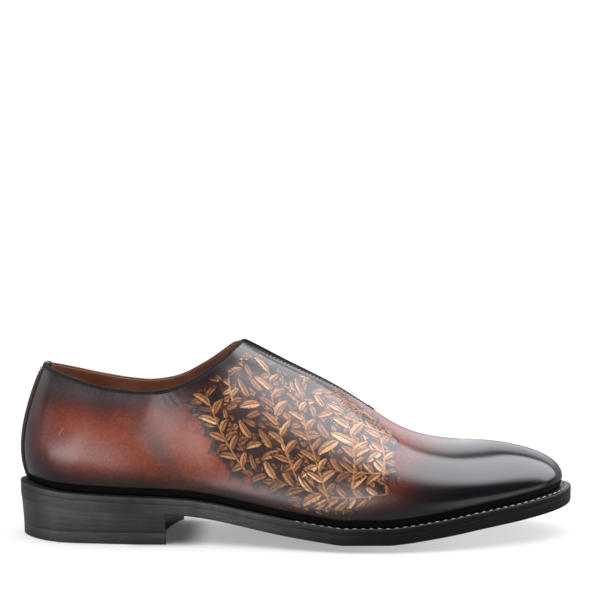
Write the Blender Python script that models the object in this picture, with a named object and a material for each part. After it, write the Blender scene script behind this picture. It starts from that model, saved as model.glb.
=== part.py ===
"""A wholecut slip-on shoe for the right foot: a hollow one-piece leather upper with an elastic
throat slit, on a welted leather sole with a stacked heel.

Sizes below are millimetres: x from the back of the heel to the toe, y to the inner (medial)
side, z up from the floor. The mesh is placed in metres with the bounding box centred on x and y.
"""

import math
from collections import namedtuple

import bmesh
import bpy
import numpy as np

MM = 0.001
CENTRE_X, CENTRE_Y = 151.30, -1.48

# Layers of the bottom
OUTSOLE = 5.4
WELT = 3.2
INSOLE = 3.4
JOINT = 0.3
TOP_PIECE = 6.0
UPPER_WALL = 2.0

# The welt's hidden inner edge, and the insole's outline, in from the sole's edge
WELT_WIDTH = 13.0
INSOLE_CLEAR = 1.0

# Heel
BREAST_LATERAL, BREAST_MEDIAL = 82.8, 86.5
BREAST_HOLLOW = 5.5
HEEL_TAPER = 0.9
HEEL_STEP = 0.2
HEEL_EDGE = 0.6

# Throat slit and its elastic
SLIT_FRONT = 193.5
GORE_HALF = 9.0
GORE = 1.0
GORE_CROWN = 0.2
GORE_BACK = 8.86

# Strip over the back seam
STRIP_HALF = 7.4
STRIP = 1.2

# Mesh density: columns from one station to the next, and rows up the wall
STEPS = 3
ROWS = 12

# The sole's edge seen from above, with the feather line's distance in from it, at stations from
# the toe round to the back of the heel.
Edge = namedtuple("Edge", "x_lat y_lat x_med y_med inset_lat inset_med")
EDGE = [
    Edge(303.0, 0.6, 303.0, 0.6, 5.6, 5.6),
    Edge(299.0, -13.0, 299.0, 14.0, 5.4, 5.4),
    Edge(288.0, -25.0, 288.5, 25.6, 5.2, 5.2),
    Edge(269.5, -35.6, 270.0, 36.0, 5.1, 5.0),
    Edge(245.5, -44.6, 247.0, 44.4, 5.1, 4.8),
    Edge(219.0, -50.6, 223.0, 49.2, 5.2, 4.7),
    Edge(192.0, -52.8, 198.0, 49.2, 5.0, 4.5),
    Edge(165.0, -49.8, 173.0, 43.4, 4.4, 4.0),
    Edge(138.0, -42.6, 148.0, 34.6, 3.5, 3.4),
    Edge(112.0, -36.2, 122.0, 28.4, 2.8, 3.0),
    Edge(87.5, -34.8, 96.0, 28.0, 3.3, 3.2),
    Edge(63.0, -34.4, 70.0, 30.4, 3.2, 3.2),
    Edge(39.0, -32.2, 43.5, 31.0, 3.2, 3.2),
    Edge(16.5, -25.2, 18.0, 25.2, 3.8, 3.8),
    Edge(-0.4, 0.2, -0.4, 0.2, 5.6, 5.6),
]

# The last's crest at the same stations: along the instep its two sides meet on the ridge, and
# behind the throat they part round the cone, above the collar. slope is the ridge's rise per mm.
Crest = namedtuple("Crest", "x y z cone_half slope")
CREST = [
    Crest(244.6, 0.8, 51.5, 0.0, -0.05),
    Crest(243.2, 0.8, 51.3, 0.0, -0.06),
    Crest(238.2, 0.9, 51.3, 0.0, -0.09),
    Crest(228.6, 1.0, 52.3, 0.0, -0.19),
    Crest(214.9, 1.2, 55.6, 0.0, -0.38),
    Crest(199.0, 1.3, 64.1, 0.0, -0.60),
    Crest(180.5, 1.2, 77.0, 0.0, -0.62),
    Crest(160.5, 0.9, 88.7, 0.0, -0.56),
    Crest(141.0, 0.5, 99.0, 0.0, -0.52),
    Crest(122.6, 0.2, 108.3, 0.0, -0.50),
    Crest(104.0, 0.0, 114.5, 7.5, -0.25),
    Crest(82.0, 0.0, 116.5, 18.0, 0.0),
    Crest(57.0, 0.0, 113.0, 21.0, 0.0),
    Crest(34.0, 0.0, 108.0, 14.5, 0.0),
    Crest(20.0, 0.0, 105.0, 0.0, 0.0),
]

# The wall's curve at the same stations, from the feather line up to the crest: its outward lean
# at the foot on each side in degrees, how far that lean holds, how far the crest's direction
# holds, and how steeply the wall arrives there in degrees.
Wall = namedtuple("Wall", "lean_lat lean_med low high arrive")
WALL = [
    Wall(20.2, 20.2, 18.2, 28.0, 0),
    Wall(17.6, 17.6, 17.0, 26.0, 0),
    Wall(16.0, 16.0, 16.0, 23.4, 0),
    Wall(16.3, 16.3, 17.4, 22.3, 0),
    Wall(16.8, 16.8, 20.2, 22.1, 1),
    Wall(16.8, 16.8, 23.4, 23.0, 4),
    Wall(15.8, 17.0, 25.6, 23.7, 10),
    Wall(14.4, 20.0, 26.7, 24.0, 18),
    Wall(13.2, 24.0, 27.5, 24.4, 28),
    Wall(14, 26, 28.0, 25.0, 40),
    Wall(15, 24, 29.0, 27.0, 56),
    Wall(16, 19, 29.0, 29.0, 68),
    Wall(17, 17, 28.0, 29.0, 69),
    Wall(20, 20, 26.0, 28.0, 67),
    Wall(24, 24, 23.0, 28.0, 66),
]

# The collar's height along the shoe
Level = namedtuple("Level", "x z")
COLLAR = [
    Level(8.0, 96.5), Level(14.0, 94.2), Level(28.0, 89.6), Level(41.5, 85.8), Level(56.0, 82.7),
    Level(71.5, 81.1), Level(81.5, 81.7), Level(89.5, 83.7), Level(97.0, 87.0),
    Level(110.5, 96.0), Level(122.0, 106.2), Level(131.0, 116.0),
]

# How much higher the collar runs on the inner side
Rise = namedtuple("Rise", "x rise")
COLLAR_RISE = [
    Rise(40.0, 0.0), Rise(66.0, 0.6), Rise(85.0, 2.2), Rise(100.0, 3.5), Rise(112.0, 3.4), Rise(122.0, 1.2),
    Rise(129.0, 0.0),
]

# The sole's underside along its middle: heel seat, arch, the flat tread, toe spring
UNDERSIDE = [
    Level(-5.0, 21.6), Level(13.0, 20.0), Level(32.0, 18.4), Level(56.0, 17.2), Level(80.0, 16.3),
    Level(94.0, 15.3), Level(106.0, 13.6), Level(122.0, 10.6), Level(138.0, 7.3), Level(153.0, 4.0),
    Level(165.0, 1.6), Level(177.0, 0.0), Level(198.0, 0.0), Level(207.0, 0.8), Level(216.0, 2.2),
    Level(231.0, 4.9), Level(248.0, 8.5), Level(272.0, 12.9), Level(288.0, 15.7), Level(306.0, 18.4),
]

# How far the edges of the forepart stand above its middle, for a full half width
Lift = namedtuple("Lift", "x lift")
EDGE_LIFT = [Lift(90.0, 0.0), Lift(130.0, 1.2), Lift(165.0, 3.7), Lift(240.0, 3.9), Lift(310.0, 3.6)]
FLAT_HALF, FULL_HALF = 21.0, 52.0

# Half the slit's width along the shoe
Gap = namedtuple("Gap", "x half")
SLIT = [Gap(116.0, 1.9), Gap(124.0, 1.9), Gap(142.0, 2.4), Gap(162.0, 2.5), Gap(180.0, 1.6), Gap(SLIT_FRONT, 0.0)]

LAST = len(EDGE) - 1
ROUND = 2 * LAST
COLUMNS = ROUND * STEPS


def closed_spline(values):
    """A smooth closed curve through one value per station, the outer side then the inner."""
    v = np.array(values, float)
    n = len(v)
    m = 4 * np.eye(n) + np.roll(np.eye(n), 1, 1) + np.roll(np.eye(n), -1, 1)
    d = np.linalg.solve(m, 3 * (np.roll(v, -1) - np.roll(v, 1)))

    def at(u):
        i = math.floor(u)
        f = u - i
        a, b = i % n, (i + 1) % n
        return (
            v[a] * (1 + 2 * f) * (1 - f) ** 2 + d[a] * f * (1 - f) ** 2
            + v[b] * f * f * (3 - 2 * f) + d[b] * f * f * (f - 1)
        )

    return at


def steady(points):
    """A curve through the points that never swings past them."""
    x = np.array([p[0] for p in points], float)
    y = np.array([p[1] for p in points], float)
    h = np.diff(x)
    s = np.diff(y) / h
    d = np.zeros(len(x))
    for k in range(1, len(x) - 1):
        if s[k - 1] * s[k] > 0:
            w1, w2 = 2 * h[k] + h[k - 1], h[k] + 2 * h[k - 1]
            d[k] = (w1 + w2) / (w1 / s[k - 1] + w2 / s[k])
    d[0], d[-1] = s[0], s[-1]

    def at(q):
        q = min(max(q, x[0]), x[-1])
        k = min(int(np.searchsorted(x, q, side="right")) - 1, len(h) - 1)
        f = (q - x[k]) / h[k]
        return (
            y[k] * (1 + 2 * f) * (1 - f) ** 2 + h[k] * d[k] * f * (1 - f) ** 2
            + y[k + 1] * f * f * (3 - 2 * f) + h[k] * d[k + 1] * f * f * (f - 1)
        )

    return at


def both_sides(rows, lateral, medial=None):
    medial = medial or lateral
    return closed_spline(
        [getattr(r, lateral) for r in rows] + [getattr(r, medial) for r in rows[-2:0:-1]]
    )


edge_x = both_sides(EDGE, "x_lat", "x_med")
edge_y = both_sides(EDGE, "y_lat", "y_med")
feather_inset = both_sides(EDGE, "inset_lat", "inset_med")
crest_x = both_sides(CREST, "x")
crest_y = both_sides(CREST, "y")
crest_z = both_sides(CREST, "z")
crest_slope = both_sides(CREST, "slope")
cone_half = steady([(k, row.cone_half) for k, row in enumerate(CREST)])
lean = both_sides(WALL, "lean_lat", "lean_med")
low = both_sides(WALL, "low")
high = both_sides(WALL, "high")
arrive = both_sides(WALL, "arrive")
collar_level = steady(COLLAR)
collar_rise = steady(COLLAR_RISE)
underside = steady(UNDERSIDE)
edge_lift = steady(EDGE_LIFT)
slit_half = steady(SLIT)


def sole_z(x, y):
    """The height of the sole's underside."""
    q = max(0.0, (abs(y) - FLAT_HALF) / (FULL_HALF - FLAT_HALF))
    return underside(x) + edge_lift(x) * q * q


def outward(u):
    e = 1e-3
    tx, ty = edge_x(u + e) - edge_x(u - e), edge_y(u + e) - edge_y(u - e)
    s = math.hypot(tx, ty)
    return -ty / s, tx / s


def rim(u, inset):
    """A point that far inside the sole's edge, seen from above."""
    nx, ny = outward(u)
    return edge_x(u) - inset * nx, edge_y(u) - inset * ny


FEATHER_Z = OUTSOLE + JOINT + WELT + JOINT


def wall_point(u, t):
    """The upper's outer face: t runs from the feather line, 0, to the crest, 1."""
    u = u % ROUND
    station = min(u, ROUND - u)
    side = -1.0 if u < LAST else 1.0
    nx, ny = outward(u)
    fx, fy = rim(u, feather_inset(u))
    foot = np.array([fx, fy, sole_z(fx, fy) + FEATHER_Z])
    top = np.array([crest_x(u), crest_y(u) + side * cone_half(station), crest_z(u)])
    b, a = math.radians(lean(u)), math.radians(arrive(u))
    up = np.array([nx * math.sin(b), ny * math.sin(b), math.cos(b)])
    over = np.array([nx * math.cos(a), ny * math.cos(a), nx * math.cos(a) * crest_slope(u) - math.sin(a)])
    p1, p2 = foot + low(u) * up, top + high(u) * over
    s = 1 - t
    return s**3 * foot + 3 * s * s * t * p1 + 3 * s * t * t * p2 + t**3 * top


def wall_normal(u, t):
    e = 1e-3
    t0, t1 = max(0.0, t - e), min(1.0, t + e)
    along = wall_point(u + e, t) - wall_point(u - e, t)
    n = np.cross(wall_point(u, t1) - wall_point(u, t0), along)
    return n / np.linalg.norm(n)


def wall_end(u):
    """Where the wall ends at the slit or the collar, as a share of its curve."""
    u = u % ROUND
    station = min(u, ROUND - u)

    def inside(t):
        p = wall_point(u, t)
        beside = abs(p[1] - crest_y(u)) >= slit_half(p[0]) or station > LAST * 0.7
        return beside and p[2] <= collar_z(p[0], p[1])

    lo, hi = 0.5, 1.0
    if inside(hi):
        return hi
    for _ in range(40):
        mid = (lo + hi) / 2
        lo, hi = (mid, hi) if inside(mid) else (lo, mid)
    return lo


def collar_z(x, y):
    return collar_level(x) + collar_rise(x) * min(1.0, max(0.0, y / 6.0))


def slit_start():
    """The first column of the mesh that the slit reaches."""
    return next(j for j in range(COLUMNS) if crest_x(j / STEPS) < SLIT_FRONT - 0.5)


def build(name, points, faces, material):
    mesh = bpy.data.meshes.new(name)
    shift = np.array([CENTRE_X, CENTRE_Y, 0.0])
    mesh.from_pydata([tuple((np.array(p) - shift) * MM) for p in points], [], faces)
    mesh.validate()
    bm = bmesh.new()
    bm.from_mesh(mesh)
    bmesh.ops.recalc_face_normals(bm, faces=bm.faces)
    bm.to_mesh(mesh)
    bm.free()
    mesh.materials.append(material)
    obj = bpy.data.objects.new(name, mesh)
    bpy.context.scene.collection.objects.link(obj)
    return obj


def finish(name, colour, roughness, metallic=0.0):
    material = bpy.data.materials.new(name)
    material.use_nodes = True
    shader = material.node_tree.nodes["Principled BSDF"]
    shader.inputs["Base Color"].default_value = (*colour, 1.0)
    shader.inputs["Roughness"].default_value = roughness
    shader.inputs["Metallic"].default_value = metallic
    return material


def make_upper(material):
    """One shell: an outer and an inner face, joined round the feather line and round the mouth."""
    first = slit_start()
    points, faces = [], []
    grids = []
    for depth in (0.0, UPPER_WALL):
        grid = []
        for j in range(COLUMNS):
            u = j / STEPS
            ridge = min(j, COLUMNS - j) < first
            end = 1.0 if ridge else wall_end(u)
            column = []
            for i in range(ROWS + 1):
                if ridge and i == ROWS and j > COLUMNS // 2:
                    column.append(grid[COLUMNS - j][ROWS])
                    continue
                t = end * i / ROWS
                if ridge and i == ROWS:
                    n = np.array([-crest_slope(u), 0.0, 1.0])
                    n /= np.linalg.norm(n)
                else:
                    n = wall_normal(u, t)
                column.append(len(points))
                points.append(wall_point(u, t) - depth * n)
            grid.append(column)
        grids.append(grid)
    for side, grid in enumerate(grids):
        for j in range(COLUMNS):
            a, b = grid[j], grid[(j + 1) % COLUMNS]
            for i in range(ROWS):
                face = list(dict.fromkeys([a[i], b[i], b[i + 1], a[i + 1]]))
                faces.append(face if side else face[::-1])
    outer, inner = grids
    for j in range(COLUMNS):
        k = (j + 1) % COLUMNS
        faces.append([outer[j][0], outer[k][0], inner[k][0], inner[j][0]])
        if first - 1 <= j < COLUMNS - first + 1:
            faces.append([outer[k][ROWS], outer[j][ROWS], inner[j][ROWS], inner[k][ROWS]])
    return build("upper", points, faces, material)


def ladder(rows):
    """Faces between rows of points that run from the outer side to the inner; an end row may be one point."""
    faces = []
    for a, b in zip(rows, rows[1:]):
        if len(a) == 1:
            faces += [[a[0], b[c + 1], b[c]] for c in range(len(b) - 1)]
        elif len(b) == 1:
            faces += [[a[c], a[c + 1], b[0]] for c in range(len(a) - 1)]
        else:
            faces += [[a[c], a[c + 1], b[c + 1], b[c]] for c in range(len(a) - 1)]
    return faces


def border(rows):
    """The outline of such rows, once round."""
    outline = [row[0] for row in rows]
    outline += [row[-1] for row in reversed(rows) if len(row) > 1]
    if len(rows[0]) > 1:
        outline += rows[0][-2:0:-1]
    return outline


def slab(name, stations, place, levels, material, across=4):
    """A solid plate: place(station, share across, level) gives a point, levels run bottom to top."""
    points, faces, loops = [], [], []
    for n, level in enumerate(levels):
        rows = []
        for s in stations:
            ends = s in (0, LAST)
            row = []
            for c in range(1 if ends else across + 1):
                row.append(len(points))
                points.append(place(s, 0.0 if ends else c / across, level))
            rows.append(row)
        loops.append(border(rows))
        if n == 0:
            faces += ladder(rows)
        if n == len(levels) - 1:
            faces += [f[::-1] for f in ladder(rows)]
    for a, b in zip(loops, loops[1:]):
        for i in range(len(a)):
            k = (i + 1) % len(a)
            faces.append([a[i], a[k], b[k], b[i]])
    used = sorted({p for face in faces for p in face})
    index = {p: i for i, p in enumerate(used)}
    return build(name, [points[p] for p in used], [[index[p] for p in f] for f in faces], material)


def across_sole(s, share, inset):
    """A point on the line over the sole from its outer edge to its inner edge at one station."""
    ax, ay = rim(s, inset(s))
    bx, by = rim(ROUND - s, inset(ROUND - s))
    return ax + (bx - ax) * share, ay + (by - ay) * share


def all_stations():
    return [j / STEPS for j in range(COLUMNS // 2 + 1)]


def make_outsole(material):
    def place(s, share, level):
        inset, z = level
        x, y = across_sole(s, share, lambda u: inset)
        return np.array([x, y, sole_z(x, y) + z])

    levels = [(0.8, 0.0), (0.0, 0.8), (0.0, OUTSOLE), (WELT_WIDTH, OUTSOLE)]
    return slab("outsole", all_stations(), place, levels, material, across=6)


def make_welt(material):
    """A flat ring, proud of the upper all the way round."""
    bottom, top = OUTSOLE + JOINT, OUTSOLE + JOINT + WELT
    points, faces = [], []
    for j in range(COLUMNS):
        u = j / STEPS
        feather = feather_inset(u)
        for inset, z in [(0.0, bottom), (0.0, top - 0.7), (0.7, top), (feather, top), (WELT_WIDTH, top), (WELT_WIDTH, bottom)]:
            x, y = rim(u, inset)
            points.append(np.array([x, y, sole_z(x, y) + z]))
    for j in range(COLUMNS):
        a, b = 6 * j, 6 * ((j + 1) % COLUMNS)
        for i in range(6):
            k = (i + 1) % 6
            faces.append([a + i, b + i, b + k, a + k])
    return build("welt", points, faces, material)


def make_insole(material):
    """The board inside the upper, with the filler under it inside the welt."""
    def place(s, share, level):
        inside_welt, z = level

        def inset(u):
            return WELT_WIDTH + JOINT + 0.4 if inside_welt else feather_inset(u) + UPPER_WALL + INSOLE_CLEAR

        x, y = across_sole(s, share, inset)
        return np.array([x, y, sole_z(x, y) + z])

    floor = OUTSOLE + JOINT
    board = FEATHER_Z
    levels = [(True, floor), (True, board), (False, board), (False, board + INSOLE)]
    return slab("insole", all_stations(), place, levels, material, across=6)


def breast_station(x_breast, sign):
    """The station where the sole's edge crosses the heel's front."""
    lo, hi = LAST * 0.6, float(LAST)
    for _ in range(40):
        mid = (lo + hi) / 2
        lo, hi = (mid, hi) if edge_x(mid if sign < 0 else ROUND - mid) > x_breast else (lo, mid)
    return lo


def heel_stations():
    """Shares of the way from the heel's front to its back."""
    n = 5 * STEPS
    return [LAST * i / n for i in range(n + 1)]


LATERAL_START = breast_station(BREAST_LATERAL, -1)
MEDIAL_START = breast_station(BREAST_MEDIAL, 1)


def heel_place(s, share, inset):
    """A point over the heel: s runs from its front, 0, to its back."""
    f = s / LAST
    f = 1 - (1 - f) ** 1.0
    ul = LATERAL_START + (LAST - LATERAL_START) * f
    um = ROUND - (MEDIAL_START + (LAST - MEDIAL_START) * f)
    ax, ay = rim(ul, inset)
    bx, by = rim(um, inset)
    x, y = ax + (bx - ax) * share, ay + (by - ay) * share
    return x - BREAST_HOLLOW * 4 * share * (1 - share) * (1 - f) ** 3, y


def heel_slab(name, levels, height, material):
    """A heel layer: every level has its own inset and a height worked out at each point."""
    def place(s, share, level):
        x, y = heel_place(max(s, 1e-6) if s < LAST else s, share, level[0])
        return np.array([x, y, height(x, y, level[1])])

    stations = heel_stations()
    stations[0] = 1e-6
    return slab(name, stations, place, levels, material, across=4)


def taper(share_up):
    return HEEL_TAPER * (1 - share_up) ** 0.8


def make_heel_block(material):
    base = TOP_PIECE + JOINT

    def height(x, y, share_up):
        return base + (sole_z(x, y) - JOINT - base) * share_up

    levels = [(HEEL_STEP + taper(f), f) for f in (0.0, 0.5, 1.0)]
    return heel_slab("heel_block", levels, height, material)


def make_top_piece(material):
    bottom = HEEL_STEP + taper(0)
    levels = [(bottom + HEEL_EDGE, 0.0), (bottom, HEEL_EDGE), (bottom, TOP_PIECE)]
    return heel_slab("heel_top_piece", levels, lambda x, y, z: z, material)


def shell_patch(name, columns, rows, point, thickness, material):
    """A thin sheet: point(column, row, depth) over a grid, closed at its edges."""
    points, faces = [], []
    grids = []
    for side in (0, 1):
        grid = []
        for i in columns:
            grid.append([])
            for k in rows:
                grid[-1].append(len(points))
                points.append(point(i, k, thickness if side else 0.0))
        grids.append(grid)
    for side, grid in enumerate(grids):
        for a, b in zip(grid, grid[1:]):
            for i in range(len(a) - 1):
                face = [a[i], b[i], b[i + 1], a[i + 1]]
                faces.append(face if side else face[::-1])
    inner, outer = grids

    def outline(g):
        return g[0] + [c[-1] for c in g[1:-1]] + g[-1][::-1] + [c[0] for c in g[-2:0:-1]]

    a, b = outline(inner), outline(outer)
    for i in range(len(a)):
        k = (i + 1) % len(a)
        faces.append([a[i], a[k], b[k], b[i]])
    return build(name, points, faces, material)


def make_gore(material):
    """Elastic under the slit, from just behind the bar tack to the collar's front."""
    start, stop = slit_start() - 2, 9 * STEPS

    def under(u, width):
        """The wall's share at that distance from the ridge."""
        lo, hi = 0.4, 1.0
        for _ in range(40):
            mid = (lo + hi) / 2
            p = wall_point(u, mid)
            lo, hi = (mid, hi) if abs(p[1] - crest_y(u)) > width else (lo, mid)
        return lo

    def point(j, k, depth):
        u = min(j / STEPS, GORE_BACK)
        drop = UPPER_WALL + JOINT + (0.0 if depth else GORE)
        half = slit_half(crest_x(u))
        if k == 0:
            n = np.array([-crest_slope(u), 0.0, 1.0])
            rise = min(1.0, half / 2) * (UPPER_WALL + GORE_CROWN) if depth else -GORE
            return wall_point(u, 1.0) + (rise - drop + (0.0 if depth else GORE)) * n / np.linalg.norm(n)
        side = u if k < 0 else ROUND - u
        width = {1: max(0.1, half - 0.8), 2: max(0.3, half - 0.4), 3: GORE_HALF}[abs(k)]
        t = under(side, width)
        if abs(k) == 1 and depth:
            drop -= min(1.0, half / 2) * UPPER_WALL
        return wall_point(side, t) - drop * wall_normal(side, t)

    return shell_patch("elastic_gore", range(start, stop + 1), (-3, -2, -1, 0, 1, 2, 3), point, GORE, material)


def make_back_strip(material):
    """The strip folded over the closing seam, from the welt to the collar."""
    def point(k, row, depth):
        half = STRIP_HALF
        e = 0.05
        reach = np.linalg.norm((wall_point(LAST + e, 0.5) - wall_point(LAST - e, 0.5)) / (2 * e))
        u = LAST + k / 2 * half / reach
        t = wall_end(u) * (0.012 + 0.988 * row / ROWS)
        return wall_point(u, t) + (JOINT + depth) * wall_normal(u, t)

    return shell_patch("back_strip", (-2, -1, 0, 1, 2), range(ROWS + 1), point, STRIP, material)


def main():
    for obj in list(bpy.data.objects):
        bpy.data.objects.remove(obj, do_unlink=True)
    leather = finish("upper_leather", (0.165, 0.055, 0.025), 0.32)
    strip = finish("strip_leather", (0.030, 0.017, 0.012), 0.36)
    elastic = finish("elastic_black", (0.010, 0.009, 0.009), 0.85)
    sole = finish("sole_leather", (0.014, 0.012, 0.012), 0.38)
    rubber = finish("heel_rubber", (0.010, 0.010, 0.010), 0.60)
    board = finish("insole_leather", (0.190, 0.075, 0.035), 0.55)
    make_upper(leather)
    make_back_strip(strip)
    make_gore(elastic)
    make_welt(sole)
    make_outsole(sole)
    make_heel_block(sole)
    make_top_piece(rubber)
    make_insole(board)


main()
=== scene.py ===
"""Looks of the wholecut slip-on shoe for the right foot.

Sizes are millimetres, x from the back of the heel to the toe, y to the inner (medial) side, z up
from the floor, and become metres in the CAD's frame when a mesh is made.
"""

import math
from collections import namedtuple

import bmesh
import bpy
import numpy as np
from mathutils import Matrix, Vector


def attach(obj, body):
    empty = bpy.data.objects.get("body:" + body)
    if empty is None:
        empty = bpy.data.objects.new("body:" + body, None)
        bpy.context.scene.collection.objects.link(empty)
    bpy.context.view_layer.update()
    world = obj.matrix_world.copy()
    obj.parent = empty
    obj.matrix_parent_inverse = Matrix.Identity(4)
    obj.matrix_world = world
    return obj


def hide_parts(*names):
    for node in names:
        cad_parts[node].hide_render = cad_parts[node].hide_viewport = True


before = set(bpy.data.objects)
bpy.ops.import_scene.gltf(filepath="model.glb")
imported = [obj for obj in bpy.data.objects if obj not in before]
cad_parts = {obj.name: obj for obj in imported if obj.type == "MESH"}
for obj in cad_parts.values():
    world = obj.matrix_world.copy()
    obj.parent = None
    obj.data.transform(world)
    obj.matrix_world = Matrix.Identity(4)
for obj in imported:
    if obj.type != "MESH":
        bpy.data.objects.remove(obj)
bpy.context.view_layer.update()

MM = 0.001
CENTRE_X, CENTRE_Y = 151.30, -1.48

# ---------------------------------------------------------------- the shoe's shape, as in the CAD

OUTSOLE = 5.4
WELT = 3.2
INSOLE = 3.4
JOINT = 0.3
TOP_PIECE = 6.0
UPPER_WALL = 2.0
WELT_WIDTH = 13.0
INSOLE_CLEAR = 1.0
BREAST_LATERAL, BREAST_MEDIAL = 82.8, 86.5
BREAST_HOLLOW = 5.5
HEEL_TAPER = 0.9
HEEL_STEP = 0.2
SLIT_FRONT = 193.5
GORE_HALF = 9.0
GORE = 1.0
GORE_BACK = 8.86
STRIP_HALF = 7.4

Edge = namedtuple("Edge", "x_lat y_lat x_med y_med inset_lat inset_med")
EDGE = [
    Edge(303.0, 0.6, 303.0, 0.6, 5.6, 5.6),
    Edge(299.0, -13.0, 299.0, 14.0, 5.4, 5.4),
    Edge(288.0, -25.0, 288.5, 25.6, 5.2, 5.2),
    Edge(269.5, -35.6, 270.0, 36.0, 5.1, 5.0),
    Edge(245.5, -44.6, 247.0, 44.4, 5.1, 4.8),
    Edge(219.0, -50.6, 223.0, 49.2, 5.2, 4.7),
    Edge(192.0, -52.8, 198.0, 49.2, 5.0, 4.5),
    Edge(165.0, -49.8, 173.0, 43.4, 4.4, 4.0),
    Edge(138.0, -42.6, 148.0, 34.6, 3.5, 3.4),
    Edge(112.0, -36.2, 122.0, 28.4, 2.8, 3.0),
    Edge(87.5, -34.8, 96.0, 28.0, 3.3, 3.2),
    Edge(63.0, -34.4, 70.0, 30.4, 3.2, 3.2),
    Edge(39.0, -32.2, 43.5, 31.0, 3.2, 3.2),
    Edge(16.5, -25.2, 18.0, 25.2, 3.8, 3.8),
    Edge(-0.4, 0.2, -0.4, 0.2, 5.6, 5.6),
]

Crest = namedtuple("Crest", "x y z cone_half slope")
CREST = [
    Crest(244.6, 0.8, 51.5, 0.0, -0.05),
    Crest(243.2, 0.8, 51.3, 0.0, -0.06),
    Crest(238.2, 0.9, 51.3, 0.0, -0.09),
    Crest(228.6, 1.0, 52.3, 0.0, -0.19),
    Crest(214.9, 1.2, 55.6, 0.0, -0.38),
    Crest(199.0, 1.3, 64.1, 0.0, -0.60),
    Crest(180.5, 1.2, 77.0, 0.0, -0.62),
    Crest(160.5, 0.9, 88.7, 0.0, -0.56),
    Crest(141.0, 0.5, 99.0, 0.0, -0.52),
    Crest(122.6, 0.2, 108.3, 0.0, -0.50),
    Crest(104.0, 0.0, 114.5, 7.5, -0.25),
    Crest(82.0, 0.0, 116.5, 18.0, 0.0),
    Crest(57.0, 0.0, 113.0, 21.0, 0.0),
    Crest(34.0, 0.0, 108.0, 14.5, 0.0),
    Crest(20.0, 0.0, 105.0, 0.0, 0.0),
]

Wall = namedtuple("Wall", "lean_lat lean_med low high arrive")
WALL = [
    Wall(20.2, 20.2, 18.2, 28.0, 0),
    Wall(17.6, 17.6, 17.0, 26.0, 0),
    Wall(16.0, 16.0, 16.0, 23.4, 0),
    Wall(16.3, 16.3, 17.4, 22.3, 0),
    Wall(16.8, 16.8, 20.2, 22.1, 1),
    Wall(16.8, 16.8, 23.4, 23.0, 4),
    Wall(15.8, 17.0, 25.6, 23.7, 10),
    Wall(14.4, 20.0, 26.7, 24.0, 18),
    Wall(13.2, 24.0, 27.5, 24.4, 28),
    Wall(14, 26, 28.0, 25.0, 40),
    Wall(15, 24, 29.0, 27.0, 56),
    Wall(16, 19, 29.0, 29.0, 68),
    Wall(17, 17, 28.0, 29.0, 69),
    Wall(20, 20, 26.0, 28.0, 67),
    Wall(24, 24, 23.0, 28.0, 66),
]

COLLAR = [
    (8.0, 96.5), (14.0, 94.2), (28.0, 89.6), (41.5, 85.8), (56.0, 82.7), (71.5, 81.1),
    (81.5, 81.7), (89.5, 83.7), (97.0, 87.0), (110.5, 96.0), (122.0, 106.2), (131.0, 116.0),
]
COLLAR_RISE = [(40.0, 0.0), (66.0, 0.6), (85.0, 2.2), (100.0, 3.5), (112.0, 3.4), (122.0, 1.2), (129.0, 0.0)]
UNDERSIDE = [
    (-5.0, 21.6), (13.0, 20.0), (32.0, 18.4), (56.0, 17.2), (80.0, 16.3), (94.0, 15.3),
    (106.0, 13.6), (122.0, 10.6), (138.0, 7.3), (153.0, 4.0), (165.0, 1.6), (177.0, 0.0),
    (198.0, 0.0), (207.0, 0.8), (216.0, 2.2), (231.0, 4.9), (248.0, 8.5), (272.0, 12.9),
    (288.0, 15.7), (306.0, 18.4),
]
EDGE_LIFT = [(90.0, 0.0), (130.0, 1.2), (165.0, 3.7), (240.0, 3.9), (310.0, 3.6)]
FLAT_HALF, FULL_HALF = 21.0, 52.0
SLIT = [(116.0, 1.9), (124.0, 1.9), (142.0, 2.4), (162.0, 2.5), (180.0, 1.6), (SLIT_FRONT, 0.0)]

LAST = len(EDGE) - 1
ROUND = 2 * LAST
FEATHER_Z = OUTSOLE + JOINT + WELT + JOINT
WELT_TOP = OUTSOLE + JOINT + WELT


def closed_spline(values):
    """A smooth closed curve through one value per station, the outer side then the inner."""
    v = np.array(values, float)
    n = len(v)
    m = 4 * np.eye(n) + np.roll(np.eye(n), 1, 1) + np.roll(np.eye(n), -1, 1)
    d = np.linalg.solve(m, 3 * (np.roll(v, -1) - np.roll(v, 1)))

    def at(u):
        u = np.asarray(u, float)
        i = np.floor(u).astype(int)
        f = u - i
        a, b = i % n, (i + 1) % n
        return (
            v[a] * (1 + 2 * f) * (1 - f) ** 2 + d[a] * f * (1 - f) ** 2
            + v[b] * f * f * (3 - 2 * f) + d[b] * f * f * (f - 1)
        )

    return at


def steady(points):
    """A curve through the points that never swings past them."""
    x = np.array([p[0] for p in points], float)
    y = np.array([p[1] for p in points], float)
    h = np.diff(x)
    s = np.diff(y) / h
    d = np.zeros(len(x))
    for k in range(1, len(x) - 1):
        if s[k - 1] * s[k] > 0:
            w1, w2 = 2 * h[k] + h[k - 1], h[k] + 2 * h[k - 1]
            d[k] = (w1 + w2) / (w1 / s[k - 1] + w2 / s[k])
    d[0], d[-1] = s[0], s[-1]

    def at(q):
        q = np.clip(np.asarray(q, float), x[0], x[-1])
        k = np.clip(np.searchsorted(x, q, side="right") - 1, 0, len(h) - 1)
        f = (q - x[k]) / h[k]
        return (
            y[k] * (1 + 2 * f) * (1 - f) ** 2 + h[k] * d[k] * f * (1 - f) ** 2
            + y[k + 1] * f * f * (3 - 2 * f) + h[k] * d[k + 1] * f * f * (f - 1)
        )

    return at


def both_sides(rows, lateral, medial=None):
    medial = medial or lateral
    return closed_spline(
        [getattr(r, lateral) for r in rows] + [getattr(r, medial) for r in rows[-2:0:-1]]
    )


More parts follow.
